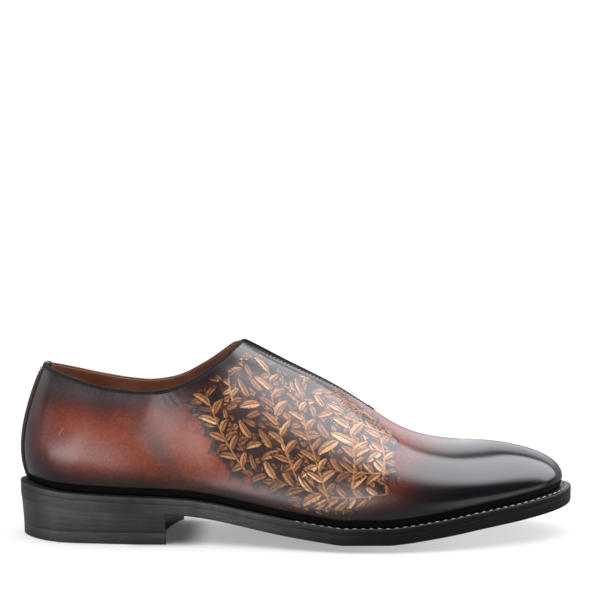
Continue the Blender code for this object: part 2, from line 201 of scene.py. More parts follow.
edge_x = both_sides(EDGE, "x_lat", "x_med")
edge_y = both_sides(EDGE, "y_lat", "y_med")
feather_inset = both_sides(EDGE, "inset_lat", "inset_med")
crest_x = both_sides(CREST, "x")
crest_y = both_sides(CREST, "y")
crest_z = both_sides(CREST, "z")
crest_slope = both_sides(CREST, "slope")
cone_half = steady([(k, row.cone_half) for k, row in enumerate(CREST)])
lean = both_sides(WALL, "lean_lat", "lean_med")
low = both_sides(WALL, "low")
high = both_sides(WALL, "high")
arrive = both_sides(WALL, "arrive")
collar_level = steady(COLLAR)
collar_rise = steady(COLLAR_RISE)
underside = steady(UNDERSIDE)
edge_lift = steady(EDGE_LIFT)
slit_half = steady(SLIT)


def unit(v):
    return v / np.maximum(np.linalg.norm(v, axis=-1, keepdims=True), 1e-12)


def smooth(x, a, b):
    f = np.clip((np.asarray(x, float) - a) / (b - a), 0.0, 1.0)
    return f * f * (3 - 2 * f)


def sole_z(x, y):
    """The height of the sole's underside."""
    q = np.maximum(0.0, (np.abs(y) - FLAT_HALF) / (FULL_HALF - FLAT_HALF))
    return underside(x) + edge_lift(x) * q * q


def outward(u):
    e = 1e-3
    tx, ty = edge_x(u + e) - edge_x(u - e), edge_y(u + e) - edge_y(u - e)
    s = np.hypot(tx, ty)
    return -ty / s, tx / s


def rim(u, inset):
    """A point that far inside the sole's edge, seen from above."""
    nx, ny = outward(u)
    return edge_x(u) - inset * nx, edge_y(u) - inset * ny


def wall_point(u, t):
    """The upper's outer face: t runs from the feather line, 0, to the crest, 1."""
    u, t = np.broadcast_arrays(np.mod(u, ROUND), np.asarray(t, float))
    station = np.minimum(u, ROUND - u)
    side = np.where(u < LAST, -1.0, 1.0)
    nx, ny = outward(u)
    fx, fy = rim(u, feather_inset(u))
    foot = np.stack([fx, fy, sole_z(fx, fy) + FEATHER_Z], -1)
    top = np.stack([crest_x(u), crest_y(u) + side * cone_half(station), crest_z(u)], -1)
    b, a = np.radians(lean(u)), np.radians(arrive(u))
    up = np.stack([nx * np.sin(b), ny * np.sin(b), np.cos(b)], -1)
    over = np.stack(
        [nx * np.cos(a), ny * np.cos(a), nx * np.cos(a) * crest_slope(u) - np.sin(a)], -1
    )
    p1 = foot + low(u)[..., None] * up
    p2 = top + high(u)[..., None] * over
    t = t[..., None]
    s = 1 - t
    return s**3 * foot + 3 * s * s * t * p1 + 3 * s * t * t * p2 + t**3 * top


def wall_normal(u, t):
    e = 1e-3
    t = np.asarray(t, float)
    along = wall_point(u + e, t) - wall_point(u - e, t)
    rise = wall_point(u, np.minimum(1.0, t + e)) - wall_point(u, np.maximum(0.0, t - e))
    return unit(np.cross(rise, along))


def wall_rise(u, t):
    """How fast the wall's curve runs, in mm for the whole of t."""
    e = 1e-3
    t = np.asarray(t, float)
    t0, t1 = np.maximum(0.0, t - e), np.minimum(1.0, t + e)
    return (wall_point(u, t1) - wall_point(u, t0)) / (t1 - t0)[..., None]


def collar_z(x, y):
    return collar_level(x) + collar_rise(x) * np.clip(y / 6.0, 0.0, 1.0)


def on_ridge(u):
    """Whether the two sides are one piece over the instep here, in front of the slit."""
    return crest_x(u) >= SLIT_FRONT - 0.3


def wall_end(u):
    """Where the wall ends at the slit or the collar, as a share of its curve."""
    u = np.mod(np.asarray(u, float), ROUND)
    station = np.minimum(u, ROUND - u)

    def inside(t):
        p = wall_point(u, t)
        beside = (np.abs(p[..., 1] - crest_y(u)) >= slit_half(p[..., 0])) | (station > LAST * 0.7)
        return beside & (p[..., 2] <= collar_z(p[..., 0], p[..., 1]))

    lo, hi = np.full(u.shape, 0.5), np.ones(u.shape)
    whole = inside(hi)
    for _ in range(40):
        mid = (lo + hi) / 2
        ok = inside(mid)
        lo, hi = np.where(ok, mid, lo), np.where(ok, hi, mid)
    return np.where(whole | on_ridge(u), 1.0, lo)


# ---------------------------------------------------------------- mesh helpers

SHIFT = np.array([CENTRE_X, CENTRE_Y, 0.0])


def make(name, points, faces, materials, attributes=None, face_material=None):
    """A mesh piece from points in mm, its normals turned outward."""
    points = np.asarray(points, float)
    mesh = bpy.data.meshes.new(name)
    mesh.from_pydata(((points - SHIFT) * MM).tolist(), [], [list(map(int, f)) for f in faces])
    for material in materials:
        mesh.materials.append(material)
    if face_material is not None:
        mesh.polygons.foreach_set("material_index", np.asarray(face_material, np.int32))
    for key, values in (attributes or {}).items():
        layer = mesh.attributes.new(key, "FLOAT", "POINT")
        layer.data.foreach_set("value", np.asarray(values, np.float32))
    bm = bmesh.new()
    bm.from_mesh(mesh)
    bmesh.ops.recalc_face_normals(bm, faces=bm.faces)
    bm.to_mesh(mesh)
    bm.free()
    mesh.shade_smooth()
    mesh.update()
    obj = bpy.data.objects.new(name, mesh)
    bpy.context.scene.collection.objects.link(obj)
    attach(obj, "root")
    return obj


def soften_edges(obj, degrees):
    """Smooth shading, apart from edges sharper than this."""
    obj.data.set_sharp_from_angle(angle=math.radians(degrees))


def ring_faces(a, b):
    """Quads between two closed rings of point numbers."""
    return np.stack([a, np.roll(a, -1), np.roll(b, -1), b], -1)


# ---------------------------------------------------------------- shader helpers


class Shader:
    """The node tree of a material with one Principled surface, or of the world."""

    def __init__(self, name, world=False):
        self.material = (bpy.data.worlds if world else bpy.data.materials).new(name)
        self.material.use_nodes = True
        self.tree = self.material.node_tree
        self.surface = self.tree.nodes["Background" if world else "Principled BSDF"]
        self.place = self.add("ShaderNodeTexCoord").outputs["Generated" if world else "Object"]

    def add(self, kind, **settings):
        node = self.tree.nodes.new(kind)
        for key, value in settings.items():
            setattr(node, key, value)
        return node

    def feed(self, socket, value):
        if isinstance(value, bpy.types.NodeSocket):
            self.tree.links.new(value, socket)
        elif isinstance(value, tuple) and len(value) == 3 and socket.type == "RGBA":
            socket.default_value = (*value, 1.0)
        else:
            socket.default_value = value

    def math(self, operation, a, b=0.0, c=0.0, clamp=False):
        node = self.add("ShaderNodeMath", operation=operation, use_clamp=clamp)
        for socket, value in zip(node.inputs, (a, b, c)):
            self.feed(socket, value)
        return node.outputs[0]

    def plus(self, a, b):
        return self.math("ADD", a, b)

    def minus(self, a, b):
        return self.math("SUBTRACT", a, b)

    def times(self, a, b):
        return self.math("MULTIPLY", a, b)

    def step(self, value, low, high, out_low=0.0, out_high=1.0):
        """A soft step from low to high."""
        node = self.add("ShaderNodeMapRange", interpolation_type="SMOOTHSTEP")
        for socket, number in zip(node.inputs, (value, low, high, out_low, out_high)):
            self.feed(socket, number)
        return node.outputs[0]

    def mix(self, share, a, b, blend="MIX"):
        node = self.add("ShaderNodeMix", data_type="RGBA", blend_type=blend)
        self.feed(node.inputs[0], share)
        self.feed(node.inputs[6], a)
        self.feed(node.inputs[7], b)
        return node.outputs[2]

    def blend(self, share, a, b):
        node = self.add("ShaderNodeMix", data_type="FLOAT")
        self.feed(node.inputs[0], share)
        self.feed(node.inputs[2], a)
        self.feed(node.inputs[3], b)
        return node.outputs[0]

    def ramp(self, value, stops):
        node = self.add("ShaderNodeValToRGB")
        ramp = node.color_ramp
        ramp.elements[0].position, ramp.elements[0].color = stops[0][0], (*stops[0][1], 1.0)
        ramp.elements[1].position, ramp.elements[1].color = stops[-1][0], (*stops[-1][1], 1.0)
        for at, colour in stops[1:-1]:
            ramp.elements.new(at).color = (*colour, 1.0)
        self.feed(node.inputs[0], value)
        return node.outputs[0]

    def noise(self, size, detail=3.0, rough=0.5, twist=0.0, vector=None, colour=False):
        """Noise whose features are about that many millimetres across."""
        node = self.add("ShaderNodeTexNoise")
        self.feed(node.inputs["Vector"], vector or self.place)
        node.inputs["Scale"].default_value = 1.0 / (size * MM)
        node.inputs["Detail"].default_value = detail
        node.inputs["Roughness"].default_value = rough
        node.inputs["Distortion"].default_value = twist
        return node.outputs[1 if colour else 0]

    def cells(self, size, vector=None, feature="F1", jitter=1.0):
        node = self.add("ShaderNodeTexVoronoi", feature=feature)
        self.feed(node.inputs["Vector"], vector or self.place)
        node.inputs["Scale"].default_value = 1.0 / (size * MM)
        node.inputs["Randomness"].default_value = jitter
        return node.outputs["Distance"]

    def stretched(self, x, y, z):
        """The place on the object, with each axis scaled."""
        node = self.add("ShaderNodeMapping")
        self.feed(node.inputs["Vector"], self.place)
        node.inputs["Scale"].default_value = (x, y, z)
        return node.outputs[0]

    def attribute(self, name):
        return self.add("ShaderNodeAttribute", attribute_name=name).outputs["Fac"]

    def axes(self):
        node = self.add("ShaderNodeSeparateXYZ")
        self.feed(node.inputs[0], self.place)
        return node.outputs

    def bump(self, height, depth, strength=1.0, before=None):
        """Bump of that depth in millimetres."""
        node = self.add("ShaderNodeBump")
        node.inputs["Distance"].default_value = depth * MM
        node.inputs["Strength"].default_value = strength
        self.feed(node.inputs["Height"], height)
        if before is not None:
            self.feed(node.inputs["Normal"], before)
        return node.outputs[0]

    def set(self, **values):
        names = {
            "colour": "Base Color", "roughness": "Roughness", "normal": "Normal", "coat": "Coat Weight",
            "coat_roughness": "Coat Roughness", "specular": "Specular IOR Level", "sheen": "Sheen Weight",
            "ior": "IOR", "sheen_roughness": "Sheen Roughness",
        }
        for key, value in values.items():
            self.feed(self.surface.inputs[names[key]], value)
        return self.material


# ---------------------------------------------------------------- materials


def upper_leather():
    """Hand-coloured calf: warm red-brown, burnished to black at the toe, collar, heel and welt, with painted sheen on
    the quarter and painted shade along a fold.
    """
    m = Shader("upper_leather")
    burnish_and_shade, warm, painted_sheen = m.attribute("burnish_and_shade"), m.attribute("warm"), m.attribute("painted_sheen")
    cloud = m.noise(24, 4, 0.55, 0.3, m.stretched(0.55, 1.0, 1.0))
    rub = m.noise(4.5, 5, 0.62, 0.6, m.stretched(0.32, 1.0, 1.0))
    grain = m.noise(1.1, 4, 0.6)
    drift = m.plus(m.times(m.minus(cloud, 0.5), 0.30), m.times(m.minus(rub, 0.5), 0.28))
    # the burnish attribute also carries painted shade along a fold on the quarter
    depth = m.plus(m.plus(burnish_and_shade, drift), m.times(m.minus(grain, 0.5), 0.24))
    patina = m.ramp(
        depth,
        [
            (0.00, (0.214, 0.035, 0.009)), (0.16, (0.160, 0.024, 0.007)), (0.36, (0.097, 0.014, 0.006)),
            (0.58, (0.036, 0.007, 0.0045)), (0.78, (0.012, 0.005, 0.004)), (1.00, (0.0035, 0.003, 0.0035)),
        ],
    )
    glow = m.times(warm, m.step(rub, 0.30, 0.75))
    patina = m.mix(glow, patina, (0.215, 0.043, 0.010))
    # painted sheen: greyish patches on the quarter and below the collar stand in for soft reflections of light
    patina = m.mix(m.times(painted_sheen, m.step(rub, 0.2, 0.8, 0.45, 1.0)), patina, (0.062, 0.050, 0.050))

    pebble = m.ramp(m.noise(1.5, 2, 0.6), [(0.36, (0.68, 0.66, 0.64)), (0.64, (1.0, 1.0, 1.0))])
    patina = m.mix(1.0, patina, pebble, "MULTIPLY")

    # painted foliage on the outer side
    art, leaf_d = m.attribute("art"), m.attribute("leaf_d")
    leaf_s, leaf_w = m.attribute("leaf_s"), m.attribute("leaf_w")
    tone, stem_d = m.attribute("leaf_tone"), m.attribute("stem_d")
    ragged = m.noise(2.3, 5, 0.7, 0.3)
    coarse = m.noise(7.5, 4, 0.6, 0.6)
    edge = m.plus(art, m.times(m.minus(coarse, 0.5), 26.0))
    edge = m.plus(edge, m.times(m.minus(ragged, 0.5), 9.0))
    ground_share = m.step(edge, 0.0, 5.0)
    ground = m.ramp(
        m.noise(6.0, 5, 0.66, 1.2),
        [
            (0.34, (0.0045, 0.004, 0.0045)), (0.52, (0.009, 0.006, 0.006)), (0.61, (0.045, 0.014, 0.007)),
            (0.70, (0.105, 0.032, 0.011)), (0.82, (0.030, 0.011, 0.007)),
        ],
    )
    colour = m.mix(m.times(ground_share, 0.93), patina, ground)
    hand = m.add("ShaderNodeCombineXYZ")
    m.feed(hand.inputs[0], m.times(leaf_s, 0.16))
    m.feed(hand.inputs[1], m.times(leaf_w, 1.25))
    m.feed(hand.inputs[2], m.times(tone, 37.0))
    streak = m.noise(1000.0, 4, 0.62, 0.3, hand.outputs[0])
    dash = m.noise(3.2, 3, 0.6, 1.0)
    lit = m.step(leaf_w, -0.25, 0.25)
    pale = m.ramp(
        m.plus(
            m.plus(m.times(tone, 0.62), m.times(m.minus(m.noise(24, 2, 0.5), 0.5), 0.9)),
            m.plus(m.times(m.minus(dash, 0.5), 0.45), m.times(m.minus(streak, 0.38), 0.75)),
        ),
        [(0.0, (0.120, 0.036, 0.012)), (0.30, (0.280, 0.105, 0.034)), (0.62, (0.470, 0.225, 0.086)), (1.0, (0.640, 0.400, 0.205))],
    )
    shaded = m.mix(m.step(streak, 0.35, 0.7), (0.095, 0.030, 0.011), (0.290, 0.118, 0.040))
    blade = m.mix(m.plus(m.times(lit, 0.72), m.times(m.step(tone, 0.55, 0.95), 0.28)), shaded, pale)
    # ribs: one along the middle, finer ones running out from it
    rib = m.step(m.math("ABSOLUTE", leaf_w), 0.16, 0.42, 1.0, 0.0)
    run = m.minus(m.times(leaf_s, 0.36), m.times(m.math("ABSOLUTE", leaf_w), 0.30))
    run = m.plus(run, m.times(m.minus(ragged, 0.5), 0.35))
    saw = m.math("ABSOLUTE", m.minus(m.math("FRACT", run), 0.5))
    vein = m.times(m.step(saw, 0.36, 0.46), m.step(leaf_d, 0.3, 0.9))
    ribs = m.math("MAXIMUM", rib, m.times(vein, 0.45))
    blade = m.mix(m.times(ribs, 0.80), blade, (0.022, 0.010, 0.008))
    worn = m.step(m.plus(streak, m.times(dash, 0.6)), 0.56, 0.74)
    brush = m.plus(leaf_d, m.times(m.minus(ragged, 0.5), 1.5))
    leaf_share = m.times(m.step(brush, 0.05, 0.50), m.blend(worn, 0.22, 1.0))
    leaf_share = m.times(leaf_share, m.step(edge, 1.0, 7.0))
    colour = m.mix(leaf_share, colour, blade)
    stem = m.times(m.step(m.plus(stem_d, m.times(m.minus(ragged, 0.5), 0.5)), -0.25, 0.2, 1.0, 0.0), m.step(edge, 2.0, 8.0))
    colour = m.mix(m.times(stem, 0.75), colour, (0.36, 0.160, 0.055))

    # dressed edge, a hair scuff by the heel
    lip = m.attribute("lip")
    colour = m.mix(m.step(lip, 1.0, 2.4, 0.95, 0.0), colour, (0.005, 0.004, 0.004))
    x, y, z = m.axes()
    along = m.plus(m.times(m.minus(x, -0.1243), 0.56), m.times(m.minus(z, 0.0576), 0.83))
    aside = m.minus(m.times(m.minus(x, -0.1243), 0.83), m.times(m.minus(z, 0.0576), 0.56))
    aside = m.plus(aside, m.times(m.minus(rub, 0.5), 0.0012))
    scuff = m.times(m.step(along, 0.0, 0.001), m.step(along, 0.0043, 0.0056, 1.0, 0.0))
    scuff = m.times(scuff, m.step(m.math("ABSOLUTE", aside), 0.00008, 0.00030, 1.0, 0.0))
    scuff = m.times(scuff, m.step(y, -0.012, -0.010, 1.0, 0.0))
    colour = m.mix(m.times(scuff, 0.6), colour, (0.42, 0.19, 0.15))

    shine = m.attribute("shine")
    rough = m.blend(shine, 0.240, 0.150)
    rough = m.plus(rough, m.times(m.minus(cloud, 0.5), 0.06))
    rough = m.plus(rough, m.times(m.minus(rub, 0.5), 0.05))
    rough = m.plus(rough, m.step(lip, 1.0, 2.6, 0.15, 0.0))
    pores = m.cells(0.42)
    fine = m.plus(m.times(grain, 0.6), m.times(pores, 0.5))
    normal = m.bump(m.times(fine, m.blend(shine, 1.0, 0.5)), 0.026, 0.55)
    normal = m.bump(m.times(leaf_share, m.plus(0.6, m.times(streak, 0.5))), 0.03, 0.4, normal)
    return m.set(colour=colour, roughness=rough, normal=normal, specular=0.5, coat=0.12, coat_roughness=0.16)


def edge_leather():
    """The upper's folded edge, inked dark."""
    m = Shader("collar_edge")
    cloud, grain = m.noise(3.5, 4, 0.6, 0.3), m.noise(0.6, 4, 0.6)
    colour = m.ramp(
        m.plus(m.times(cloud, 0.6), m.times(grain, 0.4)),
        [(0.3, (0.006, 0.0045, 0.0045)), (0.6, (0.014, 0.008, 0.007)), (0.85, (0.040, 0.018, 0.013))],
    )
    return m.set(colour=colour, roughness=m.blend(grain, 0.55, 0.78), normal=m.bump(grain, 0.06, 0.7), specular=0.08)


def foot_crease_shade():
    """The upper's foot, drawn in above the welt, near black and dull: painted shade for the crease there."""
    m = Shader("foot_crease_shade")
    cloud, grain = m.noise(4.0, 4, 0.6, 0.3), m.noise(0.8, 4, 0.6)
    colour = m.ramp(
        m.plus(m.times(cloud, 0.6), m.times(grain, 0.4)),
        [(0.3, (0.0012, 0.0010, 0.0010)), (0.6, (0.0030, 0.0024, 0.0022)), (0.85, (0.0090, 0.0060, 0.0052))],
    )
    return m.set(colour=colour, roughness=m.blend(grain, 0.60, 0.82), normal=m.bump(grain, 0.05, 0.6), specular=0.10)


def lining_leather():
    m = Shader("lining_leather")
    cloud, grain = m.noise(14, 4, 0.6, 0.3), m.noise(0.8, 4, 0.6)
    colour = m.ramp(
        m.plus(m.times(cloud, 0.75), m.times(grain, 0.25)),
        [(0.25, (0.085, 0.030, 0.016)), (0.5, (0.170, 0.062, 0.032)), (0.75, (0.240, 0.098, 0.052))],
    )
    normal = m.bump(m.plus(grain, m.cells(0.6)), 0.03, 0.6)
    return m.set(colour=colour, roughness=m.blend(cloud, 0.48, 0.66), normal=normal, specular=0.35)


def strip_leather():
    m = Shader("strip_leather")
    cloud, grain = m.noise(9, 4, 0.6, 0.4), m.noise(0.7, 4, 0.6)
    colour = m.ramp(
        m.plus(m.times(cloud, 0.8), m.times(grain, 0.2)),
        [(0.3, (0.012, 0.009, 0.009)), (0.55, (0.030, 0.017, 0.014)), (0.8, (0.070, 0.028, 0.020))],
    )
    normal = m.bump(m.plus(grain, m.cells(0.45)), 0.02, 0.6)
    return m.set(colour=colour, roughness=m.blend(cloud, 0.40, 0.56), normal=normal, specular=0.32)


def elastic_weave():
    m = Shader("elastic_black")
    x, y, z = m.axes()
    ribs = m.math("SINE", m.times(y, 7800.0))
    picks = m.math("SINE", m.times(x, 5200.0))
    weave = m.plus(m.times(ribs, 0.6), m.times(m.times(ribs, picks), 0.4))
    fuzz = m.noise(0.6, 3, 0.6)
    colour = m.mix(m.step(m.plus(weave, fuzz), -0.2, 1.4), (0.004, 0.004, 0.004), (0.014, 0.013, 0.013))
    return m.set(colour=colour, roughness=m.blend(fuzz, 0.75, 0.95), normal=m.bump(weave, 0.12, 0.8), specular=0.25)


# Painted sheen: how light the edge is painted along its length, from the heel's back to the middle of the shoe, for
# the light it catches
EDGE_SHEEN = [
    (0.06, (0.52, 0.52, 0.52)), (0.13, (1.00, 1.00, 1.00)), (0.28, (0.76, 0.76, 0.76)), (0.42, (0.40, 0.40, 0.40)),
    (0.57, (0.74, 0.74, 0.74)), (0.76, (1.00, 1.00, 1.00)), (1.00, (0.85, 0.85, 0.85)),
]
HEEL_SHEEN = [
    (0.06, (0.46, 0.46, 0.46)), (0.13, (1.00, 1.00, 1.00)), (0.28, (0.96, 0.96, 0.96)), (0.36, (0.98, 0.98, 0.98)),
    (0.44, (0.74, 0.74, 0.74)), (0.50, (0.74, 0.74, 0.74)),
]


def sole_edge():
    """Black inked and waxed leather edge, with painted sheen along the rear and painted shade on the welt's top behind
    the forepart.
    """
    m = Shader("sole_edge_black")
    x, y, z = m.axes()
    lines = m.noise(0.9, 4, 0.6, 0.2, m.stretched(0.06, 0.06, 1.0))
    cloud = m.noise(7, 4, 0.6, 0.4)
    grain = m.noise(0.6, 3, 0.6)
    ink = m.plus(m.plus(m.times(lines, 0.34), m.times(cloud, 0.40)), 0.13)
    fore = m.ramp(ink, [(0.30, (0.0030, 0.0028, 0.0028)), (0.55, (0.0065, 0.0060, 0.0060)), (0.80, (0.016, 0.0145, 0.014))])
    rear = m.ramp(ink, [(0.30, (0.036, 0.0335, 0.0335)), (0.55, (0.076, 0.071, 0.071)), (0.80, (0.130, 0.122, 0.118))])
    # painted sheen along the rear edge
    rear = m.mix(1.0, rear, m.ramp(m.times(m.plus(x, 0.15), 1 / 0.15), EDGE_SHEEN), "MULTIPLY")
    ahead = m.step(x, -0.045, 0.045)
    # painted shade: faces turned up behind the forepart, the welt's top by the upper, are made near black and dull
    facing = m.add("ShaderNodeSeparateXYZ")
    m.feed(facing.inputs[0], m.add("ShaderNodeNewGeometry").outputs["Normal"])
    flat = m.times(m.step(facing.outputs[2], 0.25, 0.70), m.minus(1.0, ahead))
    colour = m.mix(flat, m.mix(ahead, rear, fore), (0.0022, 0.0019, 0.0018))
    rough = m.plus(0.30, m.times(m.plus(lines, cloud), 0.12))
    rough = m.plus(rough, m.times(flat, 0.45))
    normal = m.bump(m.plus(m.times(lines, 0.8), m.times(grain, 0.25)), 0.05, 0.6)
    return m.set(colour=colour, roughness=rough, normal=normal, specular=0.16)


def heel_edge():
    """The heel's lifts, inked, brushed and waxed together, with painted sheen towards the back and painted shade
    towards the floor.
    """
    m = Shader("heel_edge_black")
    x, y, z = m.axes()
    lines = m.noise(0.5, 4, 0.62, 0.2, m.stretched(0.04, 0.04, 1.0))
    cloud = m.noise(11, 4, 0.55, 0.4)
    ink = m.plus(m.plus(m.times(lines, 0.09), m.times(cloud, 0.36)), 0.275)
    # painted sheen: the back of the heel inked lighter
    ink = m.plus(ink, m.step(x, -0.135, -0.075, 0.17, 0.0))
    colour = m.ramp(
        ink, [(0.30, (0.018, 0.017, 0.017)), (0.52, (0.042, 0.040, 0.040)), (0.78, (0.112, 0.105, 0.103))]
    )
    # painted sheen along the heel's length
    colour = m.mix(1.0, colour, m.ramp(m.times(m.plus(x, 0.15), 1 / 0.15), HEEL_SHEEN), "MULTIPLY")
    # painted shade: darker towards the floor
    colour = m.mix(m.step(z, 0.001, 0.024, 0.60, 0.0), colour, (0.012, 0.0115, 0.0115))
    rough = m.plus(0.26, m.times(m.plus(lines, cloud), 0.10))
    normal = m.bump(lines, 0.014, 0.5)
    return m.set(colour=colour, roughness=rough, normal=normal, specular=0.5)


def sole_bottom():
    """Stained and burnished leather under the sole."""
    m = Shader("sole_bottom_leather")
    cloud, grain = m.noise(18, 5, 0.6, 0.5), m.noise(0.7, 4, 0.65)
    colour = m.ramp(
        m.plus(m.times(cloud, 0.7), m.times(grain, 0.3)),
        [(0.25, (0.055, 0.018, 0.010)), (0.5, (0.150, 0.048, 0.020)), (0.8, (0.230, 0.090, 0.040))],
    )
    return m.set(colour=colour, roughness=m.blend(grain, 0.42, 0.62), normal=m.bump(grain, 0.04, 0.6))


def heel_rubber():
    m = Shader("heel_rubber")
    cloud, grain = m.noise(5, 4, 0.6), m.noise(0.45, 3, 0.6)
    colour = m.ramp(
        m.plus(m.times(cloud, 0.6), m.times(grain, 0.4)),
        [(0.3, (0.006, 0.006, 0.006)), (0.6, (0.012, 0.011, 0.011)), (0.85, (0.026, 0.024, 0.023))],
    )
    return m.set(colour=colour, roughness=m.blend(cloud, 0.42, 0.58), normal=m.bump(grain, 0.05, 0.5))


def insole_leather():
    m = Shader("insole_leather")
    cloud, grain = m.noise(16, 4, 0.6, 0.4), m.noise(0.8, 4, 0.6)
    colour = m.ramp(
        m.plus(m.times(cloud, 0.75), m.times(grain, 0.25)),
        [(0.25, (0.130, 0.050, 0.024)), (0.5, (0.210, 0.085, 0.040)), (0.8, (0.300, 0.135, 0.066))],
    )
    return m.set(colour=colour, roughness=m.blend(cloud, 0.50, 0.68), normal=m.bump(m.plus(grain, m.cells(0.6)), 0.03, 0.6))


def thread(name, dark, light, pitch, specular=0.5):
    m = Shader(name)
    x, y, z = m.axes()
    ply = m.math("SINE", m.times(m.plus(m.plus(x, y), z), 2 * math.pi / (pitch * MM)))
    fuzz = m.noise(0.5, 3, 0.6)
    colour = m.mix(m.step(m.plus(m.times(ply, 0.35), fuzz), 0.1, 0.9), dark, light)
    rough, normal = m.blend(fuzz, 0.50, 0.75), m.bump(ply, 0.08, 0.6)
    return m.set(colour=colour, roughness=rough, normal=normal, specular=specular, sheen=0.1)


def floor_white():
    m = Shader("floor_white")
    speck = m.noise(90, 3, 0.5)
    x, y, z = m.axes()
    m.surface.inputs["Emission Color"].default_value = (1.0, 1.0, 1.0, 1.0)
    # painted light: the floor glows to camera rays only, more towards the toe, where it lightens the shoe's shadow;
    # reflections and bounce light see the floor darker
    seen = m.add("ShaderNodeLightPath").outputs["Is Camera Ray"]
    # painted shadow: the floor's glow is cut in the corner under the arch, in front of the heel
    arch_shadow = m.times(m.times(m.step(x, -0.062, -0.044, 1.0, 0.0), m.step(x, -0.092, -0.082)), m.times(m.step(y, -0.040, -0.028), m.step(y, 0.030, 0.050, 1.0, 0.0)))
    lit = m.times(m.step(x, 0.0, 0.11, 0.38, 0.64), m.minus(1.0, m.times(arch_shadow, 0.86)))
    m.feed(m.surface.inputs["Emission Strength"], m.times(seen, lit))
    pale = m.plus(m.blend(seen, 0.13, m.step(x, 0.0, 0.11, 0.27, 0.17)), m.times(speck, 0.006))
    colour = m.mix(pale, (0.0, 0.0, 0.0), (1.0, 0.985, 0.96))
    return m.set(colour=colour, roughness=m.blend(speck, 0.75, 0.85), specular=0.0)


UPPER = upper_leather()
LIP = edge_leather()
CREASE_SHADE = foot_crease_shade()
LINING = lining_leather()
STRIP_LEATHER = strip_leather()
ELASTIC = elastic_weave()
EDGE_BLACK = sole_edge()
HEEL_BLACK = heel_edge()
BOTTOM = sole_bottom()
RUBBER = heel_rubber()
SOCK = insole_leather()
DARK_THREAD = thread("thread_dark", (0.006, 0.005, 0.005), (0.024, 0.016, 0.014), 0.55, 0.15)
WELT_THREAD = thread("thread_welt", (0.070, 0.066, 0.062), (0.260, 0.248, 0.236), 0.8)

# ---------------------------------------------------------------- the upper

# Soft folds of the leather on the outer side: from and to as x and z, depth, half width
Fold = namedtuple("Fold", "x0 z0 x1 z1 depth half")
FOLDS = [
    Fold(81.0, 80.5, 87.8, 71.0, 0.06, 0.95),
    Fold(84.0, 81.0, 91.5, 71.5, 0.05, 0.90),
    Fold(76.5, 79.0, 79.8, 73.5, 0.04, 0.85),
    Fold(88.5, 83.0, 93.0, 77.0, 0.04, 0.90),
    Fold(66.0, 74.0, 92.0, 33.0, 0.14, 7.5),
    Fold(90.0, 66.0, 101.0, 40.0, -0.10, 8.0),
    Fold(24.0, 70.0, 36.0, 88.0, 0.10, 3.0),
]
INNER_FOLDS = [
    Fold(84.0, 80.0, 92.0, 70.0, 0.06, 0.9),
    Fold(70.0, 72.0, 94.0, 36.0, 0.12, 8.0),
]
# The leather swells and rolls over a little towards the slit behind the instep
ROLL, ROLL_WIDTH, SWELL, SWELL_AT, SWELL_HALF = 1.3, 7.0, 0.9, 7.5, 4.0
RIDGE_U = np.linspace(9.6, 3.5, 400)


def edge_roll(p):
    off = np.abs(p[..., 1] - np.interp(p[..., 0], crest_x(RIDGE_U), crest_y(RIDGE_U))) - slit_half(p[..., 0])
    share = np.clip(1 - np.maximum(off, 0) / ROLL_WIDTH, 0, 1) ** 2
    deep = ROLL * share - SWELL * np.exp(-(((off - SWELL_AT) / SWELL_HALF) ** 2))
    return deep * smooth(p[..., 0], 110, 118) * (1 - smooth(p[..., 0], 140, 185))


def fold_depth(p):
    """How far the leather is pushed in at each point, in mm."""
    deep = np.zeros(p.shape[:-1])
    for side, folds in ((-1, FOLDS), (1, INNER_FOLDS)):
        on = p[..., 1] * side > 4.0
        for f in folds:
            dx, dz = f.x1 - f.x0, f.z1 - f.z0
            run = math.hypot(dx, dz)
            s = ((p[..., 0] - f.x0) * dx + (p[..., 2] - f.z0) * dz) / run
            w = ((p[..., 0] - f.x0) * dz - (p[..., 2] - f.z0) * dx) / run
            end = min(run * 0.35, f.half * 5)
            share = smooth(s, -end * 0.3, end) * smooth(run - s, -end * 0.3, end)
            deep += np.where(on, f.depth * share * np.exp(-((w / f.half) ** 2)), 0.0)
    return deep + edge_roll(p)


def columns(coarse=False):
    """Stations of the columns: the same on both sides where the ridge joins them, finest on the painted side."""
    k = 0.34 if coarse else 1.0

    def run(a, b, n):
        return np.linspace(a, b, max(2, int(round((b - a) * n * k))), endpoint=False)

    front = np.concatenate([run(0, 3.4, 15), run(3.4, 5.6, 34)])
    outer = np.concatenate([front, run(5.6, 10.9, 40), run(10.9, LAST, 17)])
    inner = np.concatenate([front, run(5.6, 10.9, 15), run(10.9, LAST, 17)])
    return np.concatenate([outer, [LAST], (ROUND - inner[:0:-1])])


